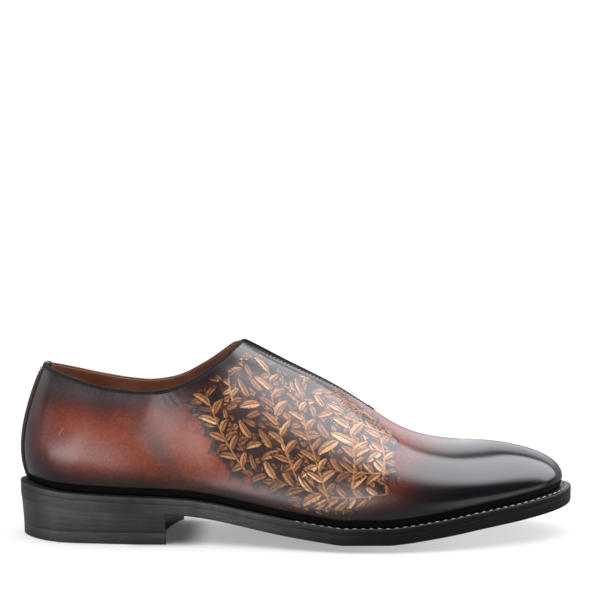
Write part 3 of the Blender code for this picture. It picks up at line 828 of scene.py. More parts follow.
def shell(u, rows, inner_rows, edge_radius, depth, drop, shaped, foot=None):
    """A closed leather shell: outer face, rounded mouth edge and inner face.

    depth is the outer face's distance inside the upper's surface, drop how far the edge stays below
    the collar and slit. foot gives the outer rows that are drawn in above the welt, their height and depth.
    """
    n = len(u)
    ridge = on_ridge(u)
    end = wall_end(u)
    pace = np.linalg.norm(wall_rise(u, np.minimum(end, 0.999)), axis=-1)
    top = np.where(ridge, 1.0, end - (edge_radius + drop) / pace)
    up_dir = unit(wall_rise(u, top))

    def face(shares, offset, foot=None):
        t = top[:, None] * shares[None, :]
        if foot:
            k, tall, sunk = foot
            c = (tall / (np.linalg.norm(wall_rise(u, 0.02 * top), axis=-1) * top))[:, None]
            a, s = shares[k], shares[None, :]
            t = top[:, None] * np.where(s <= a, s * c / a, c + (s - a) * (1 - c) / (1 - a))
        p, nrm = wall_point(u[:, None], t), wall_normal(u[:, None], t)
        slope = crest_slope(u)
        flat = unit(np.stack([-slope, np.zeros(n), np.ones(n)], -1))
        last = shares == 1.0
        nrm[:, last] = np.where(ridge[:, None, None], flat[:, None, :], nrm[:, last])
        if shaped:
            p = p - fold_depth(p)[..., None] * nrm
        if foot:
            p = p - (sunk * (1 - smooth(np.arange(len(shares)), k - 2.0, k + 1.0)))[None, :, None] * nrm
        return p - offset * nrm, nrm

    outer, normals = face(rows, depth, foot)
    inner, inner_normals = face(inner_rows, depth + 2 * edge_radius)
    points, count = [], 0

    def number(grid, weld):
        nonlocal count
        index = np.zeros(grid.shape[:2], int)
        for j in range(n):
            welded = weld and ridge[j] and u[j] > LAST
            stop = grid.shape[1] - 1 if welded else grid.shape[1]
            index[j, :stop] = np.arange(count, count + stop)
            points.append(grid[j, :stop])
            count += stop
            if welded:
                index[j, -1] = index[mirror[j], -1]
        return index

    mirror = {j: int(np.argmin(np.abs(u - (ROUND - u[j])))) for j in range(n) if u[j] > LAST and ridge[j]}
    a = number(outer, True)
    b = number(inner, True)
    angles = np.linspace(0, math.pi, 8)[1:-1]
    edge_at = outer[:, -1] - edge_radius * normals[:, -1]
    lip = np.stack(
        [edge_at + edge_radius * (math.cos(g) * normals[:, -1] + math.sin(g) * up_dir) for g in angles], 1
    )
    chains = {}
    for j in range(n):
        if ridge[j]:
            chains[j] = [a[j, -1], b[j, -1]]
        else:
            chains[j] = [a[j, -1], *range(count, count + len(angles)), b[j, -1]]
            points.append(lip[j])
            count += len(angles)
    faces = []
    k = np.roll(np.arange(n), -1)
    for grid, turn in ((a, False), (b, True)):
        q = np.stack([grid[:, :-1], grid[k][:, :-1], grid[k][:, 1:], grid[:, 1:]], -1).reshape(-1, 4)
        faces += (q[:, ::-1] if turn else q).tolist()
    faces += np.stack([a[:, 0], b[:, 0], b[k, 0], a[k, 0]], -1).tolist()
    for j in range(n):
        c, d = chains[j], chains[k[j]]
        if len(c) == 2 and len(d) == 2:
            continue
        if len(c) == len(d):
            faces += [[c[i], d[i], d[i + 1], c[i + 1]] for i in range(len(c) - 1)]
        elif len(c) == 2:
            faces += [[c[0], d[i], d[i + 1]] for i in range(len(d) - 2)] + [[c[0], d[-2], d[-1], c[1]]]
        else:
            faces += [[c[i], d[0], c[i + 1]] for i in range(len(c) - 2)] + [[c[-2], d[0], d[1], c[-1]]]
    return np.concatenate(points), faces, a, outer, normals


# ---- the painted foliage, laid out on the flattened outer side: a along the shoe, b up from the welt

Leaf = namedtuple("Leaf", "a b angle length width bend tone")
Spray = namedtuple("Spray", "start bow end leaves length width spread")
SPRAYS = [
    Spray((198, 18), (164, 12), (118, 26), 17, 13, 4.6, 46),
    Spray((203, 30), (168, 26), (108, 44), 20, 14, 5.0, 46),
    Spray((204, 42), (172, 44), (104, 68), 20, 14, 5.0, 48),
    Spray((202, 54), (176, 64), (116, 86), 17, 13, 4.8, 48),
    Spray((194, 66), (172, 82), (130, 102), 13, 12, 4.4, 48),
    Spray((152, 22), (136, 56), (136, 96), 15, 12, 4.4, 52),
    Spray((180, 22), (186, 50), (168, 88), 14, 12, 4.4, 52),
    Spray((126, 20), (104, 42), (100, 78), 13, 11, 4.2, 50),
    Spray((168, 14), (158, 44), (150, 74), 11, 11, 4.0, 52),
    Spray((196, 26), (200, 44), (190, 70), 9, 10, 3.8, 50),
    Spray((140, 8), (168, 8), (194, 12), 10, 10, 3.8, 44),
    Spray((118, 56), (112, 76), (120, 98), 8, 10, 3.8, 50),
]
ART_OUTLINE = [
    (99, 80), (94, 66), (93, 52), (98, 40), (104, 28), (113, 19), (126, 11), (146, 6), (170, 5), (188, 7),
    (199, 14), (204, 26), (207, 38), (208, 48), (204, 60), (198, 72), (191, 85), (182, 97), (160, 112),
    (134, 120), (116, 112), (104, 98),
]


def bezier(p0, p1, p2, s):
    s = np.asarray(s, float)[..., None]
    p0, p1, p2 = (np.array(p, float) for p in (p0, p1, p2))
    return (1 - s) ** 2 * p0 + 2 * s * (1 - s) * p1 + s * s * p2


def foliage():
    """Leaves in painting order, each spray from its foot to its tip."""
    rng = np.random.default_rng(41)
    leaves = []
    # leaves in the shade behind the sprays
    for a in np.arange(92, 212, 8.0):
        for b in np.arange(4, 120, 7.0):
            turn = 150 + 55 * math.sin(a * 0.055 + b * 0.03) + rng.uniform(-38, 38)
            size = rng.uniform(0.75, 1.2)
            leaves.append(
                Leaf(a + rng.uniform(-3.2, 3.2), b + rng.uniform(-2.8, 2.8), turn, 10.5 * size, 4.0 * size, rng.uniform(-0.1, 0.1), rng.uniform(0.0, 0.26))
            )
    for spray in SPRAYS:
        spots = np.linspace(0.06, 0.97, spray.leaves)
        for k, s in enumerate(spots):
            here, there = bezier(spray.start, spray.bow, spray.end, np.array([s, min(1.0, s + 0.02)]))
            heading = math.degrees(math.atan2(*(there - here)[::-1])) if s < 0.99 else 0.0
            side = 1 if k % 2 else -1
            last = k == spray.leaves - 1
            angle = heading + (0 if last else side * (spray.spread + rng.uniform(-9, 9)))
            size = (1.0 - 0.32 * abs(s - 0.45) / 0.55) * rng.uniform(0.86, 1.14)
            leaves.append(
                Leaf(
                    here[0], here[1], angle, spray.length * size, spray.width * size * rng.uniform(0.9, 1.15),
                    -side * rng.uniform(0.02, 0.12), rng.uniform(0.15, 1.0),
                )
            )
    return leaves


def leaf_width(q):
    """A leaf's half width along it, 1 at the widest."""
    q = np.clip(q, 0.0, 1.0)
    return q**0.55 * (1 - q) ** 0.85 / 0.4167


def paint(a, b):
    """Attributes of the painted design at each point of the flattened side."""
    shape = a.shape
    a, b = a.ravel(), b.ravel()
    d = np.full(a.shape, -9.0)
    s_at, w_at, tone = np.zeros(a.shape), np.zeros(a.shape), np.zeros(a.shape)
    for leaf in foliage():
        near = (np.abs(a - leaf.a) < leaf.length + 3) & (np.abs(b - leaf.b) < leaf.length + 3)
        da, db = a[near] - leaf.a, b[near] - leaf.b
        c, sn = math.cos(math.radians(leaf.angle)), math.sin(math.radians(leaf.angle))
        s, w = da * c + db * sn, db * c - da * sn
        q = s / leaf.length
        w = w - leaf.bend * leaf.length * 4 * q * (1 - q)
        inside = leaf_width(q) * leaf.width / 2 - np.abs(w)
        inside = inside - np.maximum(0, s - leaf.length) - np.maximum(0, -s)
        spot = np.flatnonzero(near)
        over = inside > -0.75
        better = over | (inside > d[spot])
        hit = spot[better]
        d[hit] = np.where(over[better], inside[better], np.maximum(d[hit], inside[better]))
        s_at[hit], w_at[hit], tone[hit] = s[better], w[better], leaf.tone
    stem = np.full(a.shape, 9.0)
    for spray in SPRAYS:
        line = bezier(spray.start, spray.bow, spray.end, np.linspace(0, 1, 60))
        for k, p in enumerate(line):
            stem = np.minimum(stem, np.hypot(a - p[0], b - p[1]) - (0.60 - 0.3 * k / 60))
    outline = np.array(ART_OUTLINE, float)
    far, odd = np.full(a.shape, 1e9), np.zeros(a.shape, bool)
    for p, q in zip(outline, np.roll(outline, -1, 0)):
        e = q - p
        s = np.clip(((a - p[0]) * e[0] + (b - p[1]) * e[1]) / (e @ e), 0, 1)
        far = np.minimum(far, np.hypot(a - p[0] - s * e[0], b - p[1] - s * e[1]))
        cross = (p[1] > b) != (q[1] > b)
        with np.errstate(divide="ignore", invalid="ignore"):
            odd ^= cross & (a < p[0] + (b - p[1]) * e[0] / (e[1] if e[1] else 1e-9))
    art = np.where(odd, far, -far)
    return {k: v.reshape(shape) for k, v in dict(art=art, leaf_d=d, leaf_s=s_at, leaf_w=w_at, leaf_tone=tone, stem_d=stem).items()}


def spot(p, x, z, rx, rz, tilt=0.0):
    c, s = math.cos(math.radians(tilt)), math.sin(math.radians(tilt))
    dx, dz = p[..., 0] - x, p[..., 2] - z
    return np.exp(-(((dx * c + dz * s) / rx) ** 2) - (((dz * c - dx * s) / rz) ** 2))


EDGE_RADIUS = 0.62
UPPER_U = columns()
UPPER_ROWS, INNER_ROWS = 122, 9
FOOT = (7, 4.4, 0.35)


def make_upper():
    rows = np.linspace(0, 1, UPPER_ROWS + 1)
    points, faces, grid, outer, normals = shell(
        UPPER_U, rows, np.linspace(0, 1, INNER_ROWS + 1), EDGE_RADIUS, 0.0, 0.0, True, FOOT
    )
    run = np.zeros(outer.shape[:2])
    run[:, 1:] = np.cumsum(np.linalg.norm(np.diff(outer, axis=1), axis=-1), 1)
    ridge = on_ridge(UPPER_U)
    mouth = outer[~ridge, -1]
    lip = np.array([np.linalg.norm(column[:, None] - mouth, axis=-1).min(1) for column in outer])
    x, y, z = outer[..., 0], outer[..., 1], outer[..., 2]
    lateral = (UPPER_U < LAST)[:, None]

    height = run / run[:, -1:]
    toe = smooth(x, 155 + 28 * height, 235 + 51 * height)
    foot = 1 - smooth(run, 0.0, 20 + 3 * smooth(x, 60, 10))
    collar = (1 - smooth(lip, 0.0, 27)) * (1 - 0.75 * smooth(x, 150, 196))
    collar = collar * (1 - 0.5 * spot(outer, 76, 69, 16, 9, -15))
    back = 1 - smooth(x, 0, 44)
    # painted shade: a dark band along the fold down the quarter, where its trough lies in shade
    fold_shade = spot(outer, 79, 52, 26, 5.5, -57) * (1 - smooth(y, -5, 5))
    # the burnish to black, with the painted shade of the fold mixed in
    burnish_and_shade = 1 - (1 - toe) * (1 - (0.92 - 0.07 * smooth(x, 75, 40)) * foot) * (1 - 0.80 * collar) * (1 - 0.64 * back) * (1 - 0.38 * fold_shade)
    burnish_and_shade = 1 - (1 - burnish_and_shade) * (1 - 0.25 * smooth(y, 0, 30))
    warm = np.clip(
        spot(outer, 66, 63, 17, 8, -12) + spot(outer, 84, 40, 16, 8, -35) * 1.1 + spot(outer, 52, 47, 16, 7, -8) * 0.7
        + spot(outer, 102, 34, 12, 7, -10) * 0.8, 0, 1
    ) * (1 - burnish_and_shade)
    # painted sheen: greyish patches where soft reflections are painted onto the quarter
    painted_sheen = np.clip(
        spot(outer, 30, 83, 22, 6, -12) * 0.55 + spot(outer, 62, 78, 20, 4.5, -3) * 0.75 + spot(outer, 83, 47, 8, 6, -35) * 0.35, 0, 1
    )
    art = paint(x, run)
    art["art"] = np.where(lateral, np.minimum(art["art"], lip * 1.1 - 4.5), -60.0)
    values = dict(
        burnish_and_shade=burnish_and_shade, warm=warm, painted_sheen=painted_sheen, shine=smooth(x, 196, 250), lip=np.minimum(lip, 40.0), **art
    )
    total = len(points)
    attributes = {}
    for key, v in values.items():
        full = np.full(total, 0.0)
        if key in ("burnish_and_shade",):
            full[:] = 0.9
        if key == "art":
            full[:] = -60.0
        if key == "leaf_d":
            full[:] = -9.0
        if key == "stem_d":
            full[:] = 9.0
        full[grid.ravel()] = v.ravel()
        attributes[key] = full
    kinds = np.zeros(len(faces), int)
    first = len(UPPER_U) * (UPPER_ROWS + INNER_ROWS + 1)
    start, outside = total - 6 * int((~ridge).sum()), set(grid.ravel().tolist())
    across = lambda v: (v - start) % 6 if v >= start else -1 if v in outside else 6
    kinds[first:] = [3 if np.mean([across(v) for v in face]) > 3.0 else 1 for face in faces[first:]]
    wall = kinds[: len(UPPER_U) * UPPER_ROWS].reshape(-1, UPPER_ROWS)
    # the lowest rows, drawn in above the welt, take the painted shade of the crease
    wall[:, : FOOT[0]] = 2
    middle = (lip[:, :-1] + lip[:, 1:]) / 2
    middle = (middle + np.roll(middle, -1, 0)) / 2
    wall[middle < 1.6 - 0.8 * smooth(x[:, 1:], 130, 165)] = 1
    obj = make("leather_upper", points, faces, [UPPER, LIP, CREASE_SHADE, LINING], attributes, kinds.tolist())
    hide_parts("upper")
    return obj


def make_lining():
    u = columns(coarse=True)
    points, faces, *_ = shell(
        u, np.linspace(0.004, 1, 40), np.linspace(0.004, 1, 40), 0.33, 2 * EDGE_RADIUS + 0.05, 0.9, True
    )
    obj = make("leather_lining", points, faces, [LINING])
    return obj


# ---------------------------------------------------------------- stitches


def follow(path, normals, pitch, length, start=0.0, stop=0.0):
    """Middle, direction and normal of each stitch along a line of points."""
    path, normals = np.asarray(path), np.asarray(normals)
    run = np.concatenate([[0], np.cumsum(np.linalg.norm(np.diff(path, axis=0), axis=1))])
    mids = np.arange(start + length / 2, run[-1] - stop - length / 2, pitch)
    ends = []
    for shift in (-0.5, -0.25, 0.0, 0.25, 0.5):
        at = mids + shift * length
        ends.append(np.stack([np.interp(at, run, path[:, k]) for k in range(3)], -1))
    n = unit(np.stack([np.interp(mids, run, normals[:, k]) for k in range(3)], -1))
    return np.stack(ends, 1), n


def stitches(name, rows, radius, lift, sink, material, sides=7):
    """Thread lying on a surface: every stitch is a short bent strand whose ends go into it."""
    points, faces = [], []
    heights = np.array([-sink, lift * 0.75, lift, lift * 0.75, -sink])
    fat = np.array([0.62, 0.95, 1.0, 0.95, 0.62]) * radius
    count = 0
    for centres, n in rows:
        for line, up in zip(centres, n):
            line = line + heights[:, None] * up
            along = unit(np.gradient(line, axis=0))
            across = unit(np.cross(np.broadcast_to(up, along.shape), along))
            over = np.cross(along, across)
            turn = np.linspace(0, 2 * math.pi, sides, endpoint=False)
            ring = (
                line[:, None] + fat[:, None, None] * (np.cos(turn)[None, :, None] * across[:, None] + np.sin(turn)[None, :, None] * over[:, None])
            )
            points.append(ring.reshape(-1, 3))
            index = count + np.arange(len(line) * sides).reshape(len(line), sides)
            for a, b in zip(index, index[1:]):
                faces += ring_faces(a, b).tolist()
            faces.append(index[0][::-1].tolist())
            faces.append(index[-1].tolist())
            count += len(line) * sides
    return make(name, np.concatenate(points), faces, [material])


def edge_line(u, below):
    """Points on the upper that far below its collar or slit edge, with normals."""
    end = wall_end(u)
    pace = np.linalg.norm(wall_rise(u, end - 0.002), axis=-1)
    t = end - below / pace
    p, n = wall_point(u, t), wall_normal(u, t)
    return p - fold_depth(p)[:, None] * n, n


def corner_u():
    """The station where the slit meets the collar."""
    u = np.linspace(8.0, 10.0, 2001)
    p = wall_point(u, wall_end(u))
    at_slit = np.abs(np.abs(p[:, 1] - crest_y(u)) - slit_half(p[:, 0])) < 0.02
    return float(u[at_slit][-1])


CORNER = corner_u()


def strip_u(offset):
    """The station that far round the heel from the back seam, in mm at half height."""
    e = 0.05
    reach = np.linalg.norm((wall_point(LAST + e, 0.5) - wall_point(LAST - e, 0.5)) / (2 * e))
    return LAST + offset / reach


def make_stitches():
    rows = []
    for a, b in ((CORNER + 0.12, strip_u(-STRIP_HALF - 1.0)), (strip_u(STRIP_HALF + 1.0), ROUND - CORNER - 0.12)):
        line, n = edge_line(np.linspace(a, b, 500), 1.75)
        rows.append(follow(line, n, 2.15, 1.6))
    obj = stitches("stitch_collar", rows, 0.23, 0.10, 0.22, DARK_THREAD)
    rows = []
    first = float(np.interp(-(SLIT_FRONT - 3.0), -crest_x(np.linspace(4, 9, 400)), np.linspace(4, 9, 400)))
    for side in (0, 1):
        u = np.linspace(first, CORNER - 0.06, 400)
        line, n = edge_line(ROUND - u if side else u, 2.2)
        rows.append(follow(line, n, 2.15, 1.6))
    obj = stitches("stitch_slit", rows, 0.23, 0.10, 0.22, DARK_THREAD)


# ---------------------------------------------------------------- bar tack, gore, back strip


def ridge_frame(x):
    """The instep's ridge at that x: point, direction to the toe, up."""
    u = np.linspace(3.5, 9.4, 3000)
    at = np.interp(-x, -crest_x(u), u)
    p = wall_point(at, 1.0)
    s = crest_slope(at)
    along = unit(np.array([1.0, 0.0, float(s)]))
    return p, along, np.array([-along[2], 0.0, along[0]])


def make_bar_tack():
    """Close threads across the slit's front end."""
    rows = []
    for k in range(8):
        x = SLIT_FRONT - 2.6 + 0.42 * k
        p, along, up = ridge_frame(x)
        half = 2.0
        y = np.linspace(-half, half, 5)
        line = p + np.stack([np.zeros(5), y, np.zeros(5)], -1) - (y**2 * 0.022)[:, None] * up
        rows.append((line[None], up[None]))
    obj = stitches("stitch_bar_tack", rows, 0.30, 0.26, 0.35, DARK_THREAD)


def make_gore():
    """Ribbed elastic in the slit."""
    u = np.linspace(5.15, GORE_BACK + 0.12, 96)
    across = np.concatenate([-np.linspace(1, 0, 22) ** 1.35, np.linspace(0, 1, 22)[1:] ** 1.35]) * GORE_HALF
    base, nrm = np.zeros((len(u), len(across), 3)), np.zeros((len(u), len(across), 3))
    for k, w in enumerate(across):
        side = u if w <= 0 else ROUND - u
        lo, hi = np.full(u.shape, 0.4), np.ones(u.shape)
        for _ in range(36):
            mid = (lo + hi) / 2
            wide = np.abs(wall_point(side, mid)[:, 1] - crest_y(u)) > abs(w)
            lo, hi = np.where(wide, mid, lo), np.where(wide, hi, mid)
        base[:, k], nrm[:, k] = wall_point(side, lo), wall_normal(side, np.minimum(lo, 0.995))
        if abs(w) < 0.4:
            s = crest_slope(u)
            nrm[:, k] = unit(np.stack([-s, np.zeros(len(u)), np.ones(len(u))], -1))
    half = slit_half(crest_x(u))[:, None]
    rise = np.minimum(1.0, half / 1.6) * (1 - smooth(np.abs(across)[None, :], np.maximum(0.05, half - 1.1), np.maximum(0.25, half - 0.45)))
    rise = rise * smooth(GORE_BACK + 0.12 - u, 0.0, 0.10)[:, None]
    ribs = 0.06 * np.cos(across * 7.0)[None, :] * rise
    low = 0.78 * ROLL * (smooth(crest_x(u), 110, 118) * (1 - smooth(crest_x(u), 140, 185)))[:, None] * rise
    top = base - (UPPER_WALL + JOINT - rise * (UPPER_WALL + 0.05) - ribs + low)[..., None] * nrm
    bottom = base - (UPPER_WALL + JOINT + GORE) * nrm
    n, k = base.shape[:2]
    a = np.arange(n * k).reshape(n, k)
    b = a + n * k
    faces = []
    for g in (a, b):
        faces += np.stack([g[:-1, :-1], g[1:, :-1], g[1:, 1:], g[:-1, 1:]], -1).reshape(-1, 4).tolist()
    for p, q in ((a[0], b[0]), (a[-1], b[-1]), (a[:, 0], b[:, 0]), (a[:, -1], b[:, -1])):
        faces += np.stack([p[:-1], p[1:], q[1:], q[:-1]], -1).tolist()
    obj = make("gore_elastic", np.concatenate([top.reshape(-1, 3), bottom.reshape(-1, 3)]), faces, [ELASTIC])
    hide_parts("elastic_gore")


STRIP = 1.15


def make_back_strip():
    """The strip over the back seam: skived edges, folded over the collar and a little way down inside."""
    across = np.linspace(-1, 1, 41)
    u = strip_u(across * STRIP_HALF)
    end = wall_end(u)
    pace = np.linalg.norm(wall_rise(u, end - 0.002), axis=-1)
    out_rows, fold_rows, in_rows = 90, 14, 16
    plump = STRIP * np.minimum(1.0, (1 - np.abs(across) ** 7)) ** 0.5
    plump = 0.30 + plump * (1.0 - 0.06 * np.cos(across * math.pi))
    seam = 0.10 * np.exp(-((np.abs(np.abs(across) * STRIP_HALF - (STRIP_HALF - 1.7)) / 0.45) ** 2))
    plump = plump - seam
    t = (end - EDGE_RADIUS / pace)[None, :] * np.linspace(0.004, 1, out_rows)[:, None]
    p, n = wall_point(u[None, :], t), wall_normal(u[None, :], t)
    sheets = []
    wall = 2 * EDGE_RADIUS + 0.70
    thin = 1 - 0.62 * smooth(np.linspace(0.004, 1, out_rows), 0.86, 0.99)[:, None]
    for face in (plump, np.full_like(plump, 0.02)):
        outside = p + np.maximum(0.02, face[None, :] * thin)[..., None] * n
        thick = np.maximum(0.02, face * thin[-1])
        rise = unit(wall_rise(u, t[-1]))
        middle = p[-1] - wall / 2 * n[-1]
        reach = wall / 2 + thick
        angles = np.linspace(0, math.pi, fold_rows + 2)[1:-1]
        fold = np.stack(
            [middle + reach[:, None] * (math.cos(g) * n[-1] + math.sin(g) * rise) for g in angles]
        )
        ti = t[-1][None, :] - (np.linspace(0, 11, in_rows)[:, None] / pace[None, :])
        inside = wall_point(u[None, :], ti) - (wall + thick)[None, :, None] * wall_normal(u[None, :], ti)
        sheets.append(np.concatenate([outside, fold, inside]))
    rows, cols = sheets[0].shape[:2]
    a = np.arange(rows * cols).reshape(rows, cols)
    b = a + rows * cols
    faces = []
    for g in (a, b):
        faces += np.stack([g[:-1, :-1], g[1:, :-1], g[1:, 1:], g[:-1, 1:]], -1).reshape(-1, 4).tolist()
    for x, y in ((a[0], b[0]), (a[-1], b[-1]), (a[:, 0], b[:, 0]), (a[:, -1], b[:, -1])):
        faces += np.stack([x[:-1], x[1:], y[1:], y[:-1]], -1).tolist()
    obj = make("seam_strip", np.concatenate([s.reshape(-1, 3) for s in sheets]), faces, [STRIP_LEATHER])
    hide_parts("back_strip")
    lines = []
    for k in (-1, 1):
        us = strip_u(k * (STRIP_HALF - 1.7))
        e = wall_end(us)
        ts = float(e) * np.linspace(0.02, 0.985, 300)
        pp, nn = wall_point(us, ts), wall_normal(us, ts)
        lines.append(follow(pp + 1.22 * nn, nn, 2.2, 1.65))
    obj = stitches("stitch_strip", lines, 0.23, 0.12, 0.25, DARK_THREAD)


# ---------------------------------------------------------------- bottom: welt, sole, heel, insole

BOTTOM_STEPS = 22


def make_welt():
    n = ROUND * BOTTOM_STEPS
    u = np.arange(n) / BOTTOM_STEPS
    x, _ = rim(u, 0.0)
    fore = smooth(x, 128, 152)
    feather = feather_inset(u)
    low_z, top = OUTSOLE + 0.02, WELT_TOP
    middle = np.minimum(2.55, feather * 0.5)
    half = 0.75
    profile = [
        (0.05 + 0 * u, low_z + 0 * u), (0.0 + 0 * u, low_z + 0.12 + 0 * u), (0 * u - 0.03, low_z + 1.5 + 0 * u), (0 * u, top - 0.75 + 0 * u),
        (0.10 + 0 * u, top - 0.38 + 0 * u), (0.34 + 0 * u, top - 0.10 + 0 * u), (0.70 + 0 * u, top + 0 * u),
        (middle - half, top + 0 * u), (middle - 0.35, top - 0.30 * fore), (middle + 0.35, top - 0.30 * fore),
        (middle + half, top + 0.02 * fore), (feather - 0.25, top + 0.05 + 0 * u), (feather + 1.2, top + 0.05 + 0 * u),
        (WELT_WIDTH + 0 * u, top - 0.3 + 0 * u), (WELT_WIDTH + 0 * u, low_z + 0 * u),
    ]
    rings, points = [], []
    for inset, z in profile:
        px, py = rim(u, inset)
        rings.append(np.arange(n) + len(points) * n)
        points.append(np.stack([px, py, sole_z(px, py) + z], -1))
    faces = []
    for a, b in zip(rings, rings[1:] + rings[:1]):
        faces += ring_faces(a, b).tolist()
    obj = make("welt_strip", np.concatenate(points), faces, [EDGE_BLACK])
    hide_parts("welt")
    # stitches round the forepart, lying in the groove
    line_u = np.concatenate([np.linspace(-7.75, 7.55, 2400)])
    px, py = rim(line_u, np.minimum(2.55, feather_inset(line_u) * 0.5))
    pz = sole_z(px, py) + top - 0.16
    rows = follow(np.stack([px, py, pz], -1), np.tile([0.0, 0.0, 1.0], (len(line_u), 1)), 4.3, 2.9)
    obj = stitches("stitch_welt", [rows], 0.40, 0.14, 0.42, WELT_THREAD, sides=8)


def plate(name, u_lat, u_med, levels, point, materials, face_of, across=12):
    """A solid plate from stations on both edges: levels give (inset function, height function, material)."""
    n = len(u_lat)
    points, loops, faces, kinds, count = [], [], [], [], 0
    for k, level in enumerate(levels):
        share = np.linspace(0, 1, across + 1)
        grid = point(u_lat[:, None], u_med[:, None], share[None, :], level)
        index = count + np.arange(grid.shape[0] * grid.shape[1]).reshape(grid.shape[:2])
        capped = k in (0, len(levels) - 1)
        if capped:
            points.append(grid.reshape(-1, 3))
            count += grid.shape[0] * grid.shape[1]
            q = np.stack([index[:-1, :-1], index[1:, :-1], index[1:, 1:], index[:-1, 1:]], -1).reshape(-1, 4).tolist()
            faces += q
            kinds += [face_of(k)] * len(q)
            loop = np.concatenate([index[:, 0], index[-1, 1:], index[-2::-1, -1], index[0, -2:0:-1]])
        else:
            ring = np.concatenate([grid[:, 0], grid[-1, 1:], grid[-2::-1, -1], grid[0, -2:0:-1]])
            points.append(ring)
            loop = count + np.arange(len(ring))
            count += len(ring)
        loops.append(loop)
    for k, (a, b) in enumerate(zip(loops, loops[1:])):
        q = ring_faces(a, b).tolist()
        faces += q
        kinds += [face_of(k + 0.5)] * len(q)
    obj = make(name, np.concatenate(points), faces, materials, None, kinds)
    return obj


def weld(obj, distance=0.004):
    bm = bmesh.new()
    bm.from_mesh(obj.data)
    bmesh.ops.remove_doubles(bm, verts=bm.verts, dist=distance * MM)
    bmesh.ops.recalc_face_normals(bm, faces=bm.faces)
    bm.to_mesh(obj.data)
    bm.free()
    obj.data.shade_smooth()


def across_sole(ul, um, share, inset):
    ax, ay = rim(ul, inset(ul))
    bx, by = rim(um, inset(um))
    return ax + (bx - ax) * share, ay + (by - ay) * share


def make_outsole():
    s = np.linspace(0, LAST, LAST * BOTTOM_STEPS + 1)

    def point(ul, um, share, level):
        inset, z = level
        if z < 1:  # no rounding over the heel
            x, y = across_sole(ul, um, share, lambda u: 0.04 + (inset - 0.04) * smooth(edge_x(u), 80, 92))
        else:
            x, y = across_sole(ul, um, share, lambda u: inset + 0 * u)
        return np.stack([x, y, sole_z(x, y) + z], -1)

    levels = [(0.85, 0.0), (0.40, 0.10), (0.10, 0.42), (0.0, 0.95), (-0.04, 2.6), (-0.01, 4.7), (0.0, OUTSOLE - 0.16), (0.05, OUTSOLE - 0.02)]
    obj = plate("sole_plate", s, ROUND - s, levels, point, [EDGE_BLACK, BOTTOM], lambda k: 1 if k < 1.9 else 0)
    weld(obj)
    for face in obj.data.polygons:  # the edge is inked down to the heel
        if face.normal.z > -0.5 and face.center.x < (94.0 - CENTRE_X) * MM:
            face.material_index = 0
    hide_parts("outsole")


def make_insole():
    s = np.linspace(0, LAST, LAST * 12 + 1)

    def point(ul, um, share, level):
        inset, z = level
        x, y = across_sole(ul, um, share, lambda u: feather_inset(u) + UPPER_WALL + inset)
        cup = 1.3 * np.abs(2 * share - 1) ** 4 * smooth(x, 95, 60)
        return np.stack([x, y, sole_z(x, y) + z + cup * (z > FEATHER_Z + 1)], -1)

    board = FEATHER_Z
    levels = [(9.0, OUTSOLE + 0.3), (9.0, board - 0.2), (0.9, board), (0.35, board + 0.5), (0.30, board + INSOLE - 0.7), (0.55, board + INSOLE - 0.2), (1.1, board + INSOLE)]
    obj = plate("footbed", s, ROUND - s, levels, point, [SOCK], lambda k: 0)
    weld(obj)
    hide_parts("insole")


def breast_station(x_breast, sign):
    lo, hi = LAST * 0.6, float(LAST)
    for _ in range(40):
        mid = (lo + hi) / 2
        ahead = edge_x(mid if sign < 0 else ROUND - mid) > x_breast
        lo, hi = (mid, hi) if ahead else (lo, mid)
    return lo


LATERAL_START = breast_station(BREAST_LATERAL, -1)
MEDIAL_START = breast_station(BREAST_MEDIAL, 1)


def heel_point(f, share, inset):
    """A point over the heel: f runs from its front, 0, to its back, 1."""
    ul = LATERAL_START + (LAST - LATERAL_START) * f
    um = ROUND - (MEDIAL_START + (LAST - MEDIAL_START) * f)
    ax, ay = rim(ul, inset)
    bx, by = rim(um, inset)
    x, y = ax + (bx - ax) * share, ay + (by - ay) * share
    return x - BREAST_HOLLOW * 4 * share * (1 - share) * (1 - f) ** 3, y


def taper(share_up):
    return HEEL_TAPER * (1 - share_up) ** 0.8


def make_heel():
    f = np.linspace(0, 1, 96) ** 0.9
    base = TOP_PIECE + 0.02

    def block_point(ul, um, share, level):
        extra, up = level
        x, y = heel_point(ul, share, HEEL_STEP + taper(up) + extra)
        roof = sole_z(x, y) - 0.02
        return np.stack([x, y, base + (roof - base) * up], -1)

    levels = [(0.05, 0.0), (0.0, 0.012)]
    for g in (0.26, 0.51, 0.76):
        levels += [(0.0, g - 0.010), (0.016, g), (0.0, g + 0.010)]
    levels += [(0.0, 0.988), (0.04, 1.0)]
    obj = plate("heel_stack", f, f, levels, block_point, [HEEL_BLACK, BOTTOM], lambda k: 0, across=16)
    weld(obj)
    for face in obj.data.polygons:  # the breast isn't inked
        if face.normal.x > 0.6:
            face.material_index = 1
    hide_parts("heel_block")

    def tip_point(ul, um, share, level):
        extra, z = level
        x, y = heel_point(ul, share, HEEL_STEP + taper(0) + extra)
        return np.stack([x, y, z + 0 * x], -1)

    levels = [(0.75, 0.0), (0.28, 0.08), (0.04, 0.40), (0.0, 0.8), (0.0, TOP_PIECE - 0.12), (0.05, TOP_PIECE)]
    kinds = lambda k: 1 if k < 0.9 else 2 if k < 1.9 else 0
    obj = plate("heel_tip", f, f, levels, tip_point, [HEEL_BLACK, RUBBER, BOTTOM], kinds, across=16)
    weld(obj)
    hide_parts("heel_top_piece")


make_upper()
make_lining()
make_stitches()
make_bar_tack()
make_gore()
make_back_strip()
make_welt()
make_outsole()
make_heel()
make_insole()

# ---------------------------------------------------------------- floor, light and camera


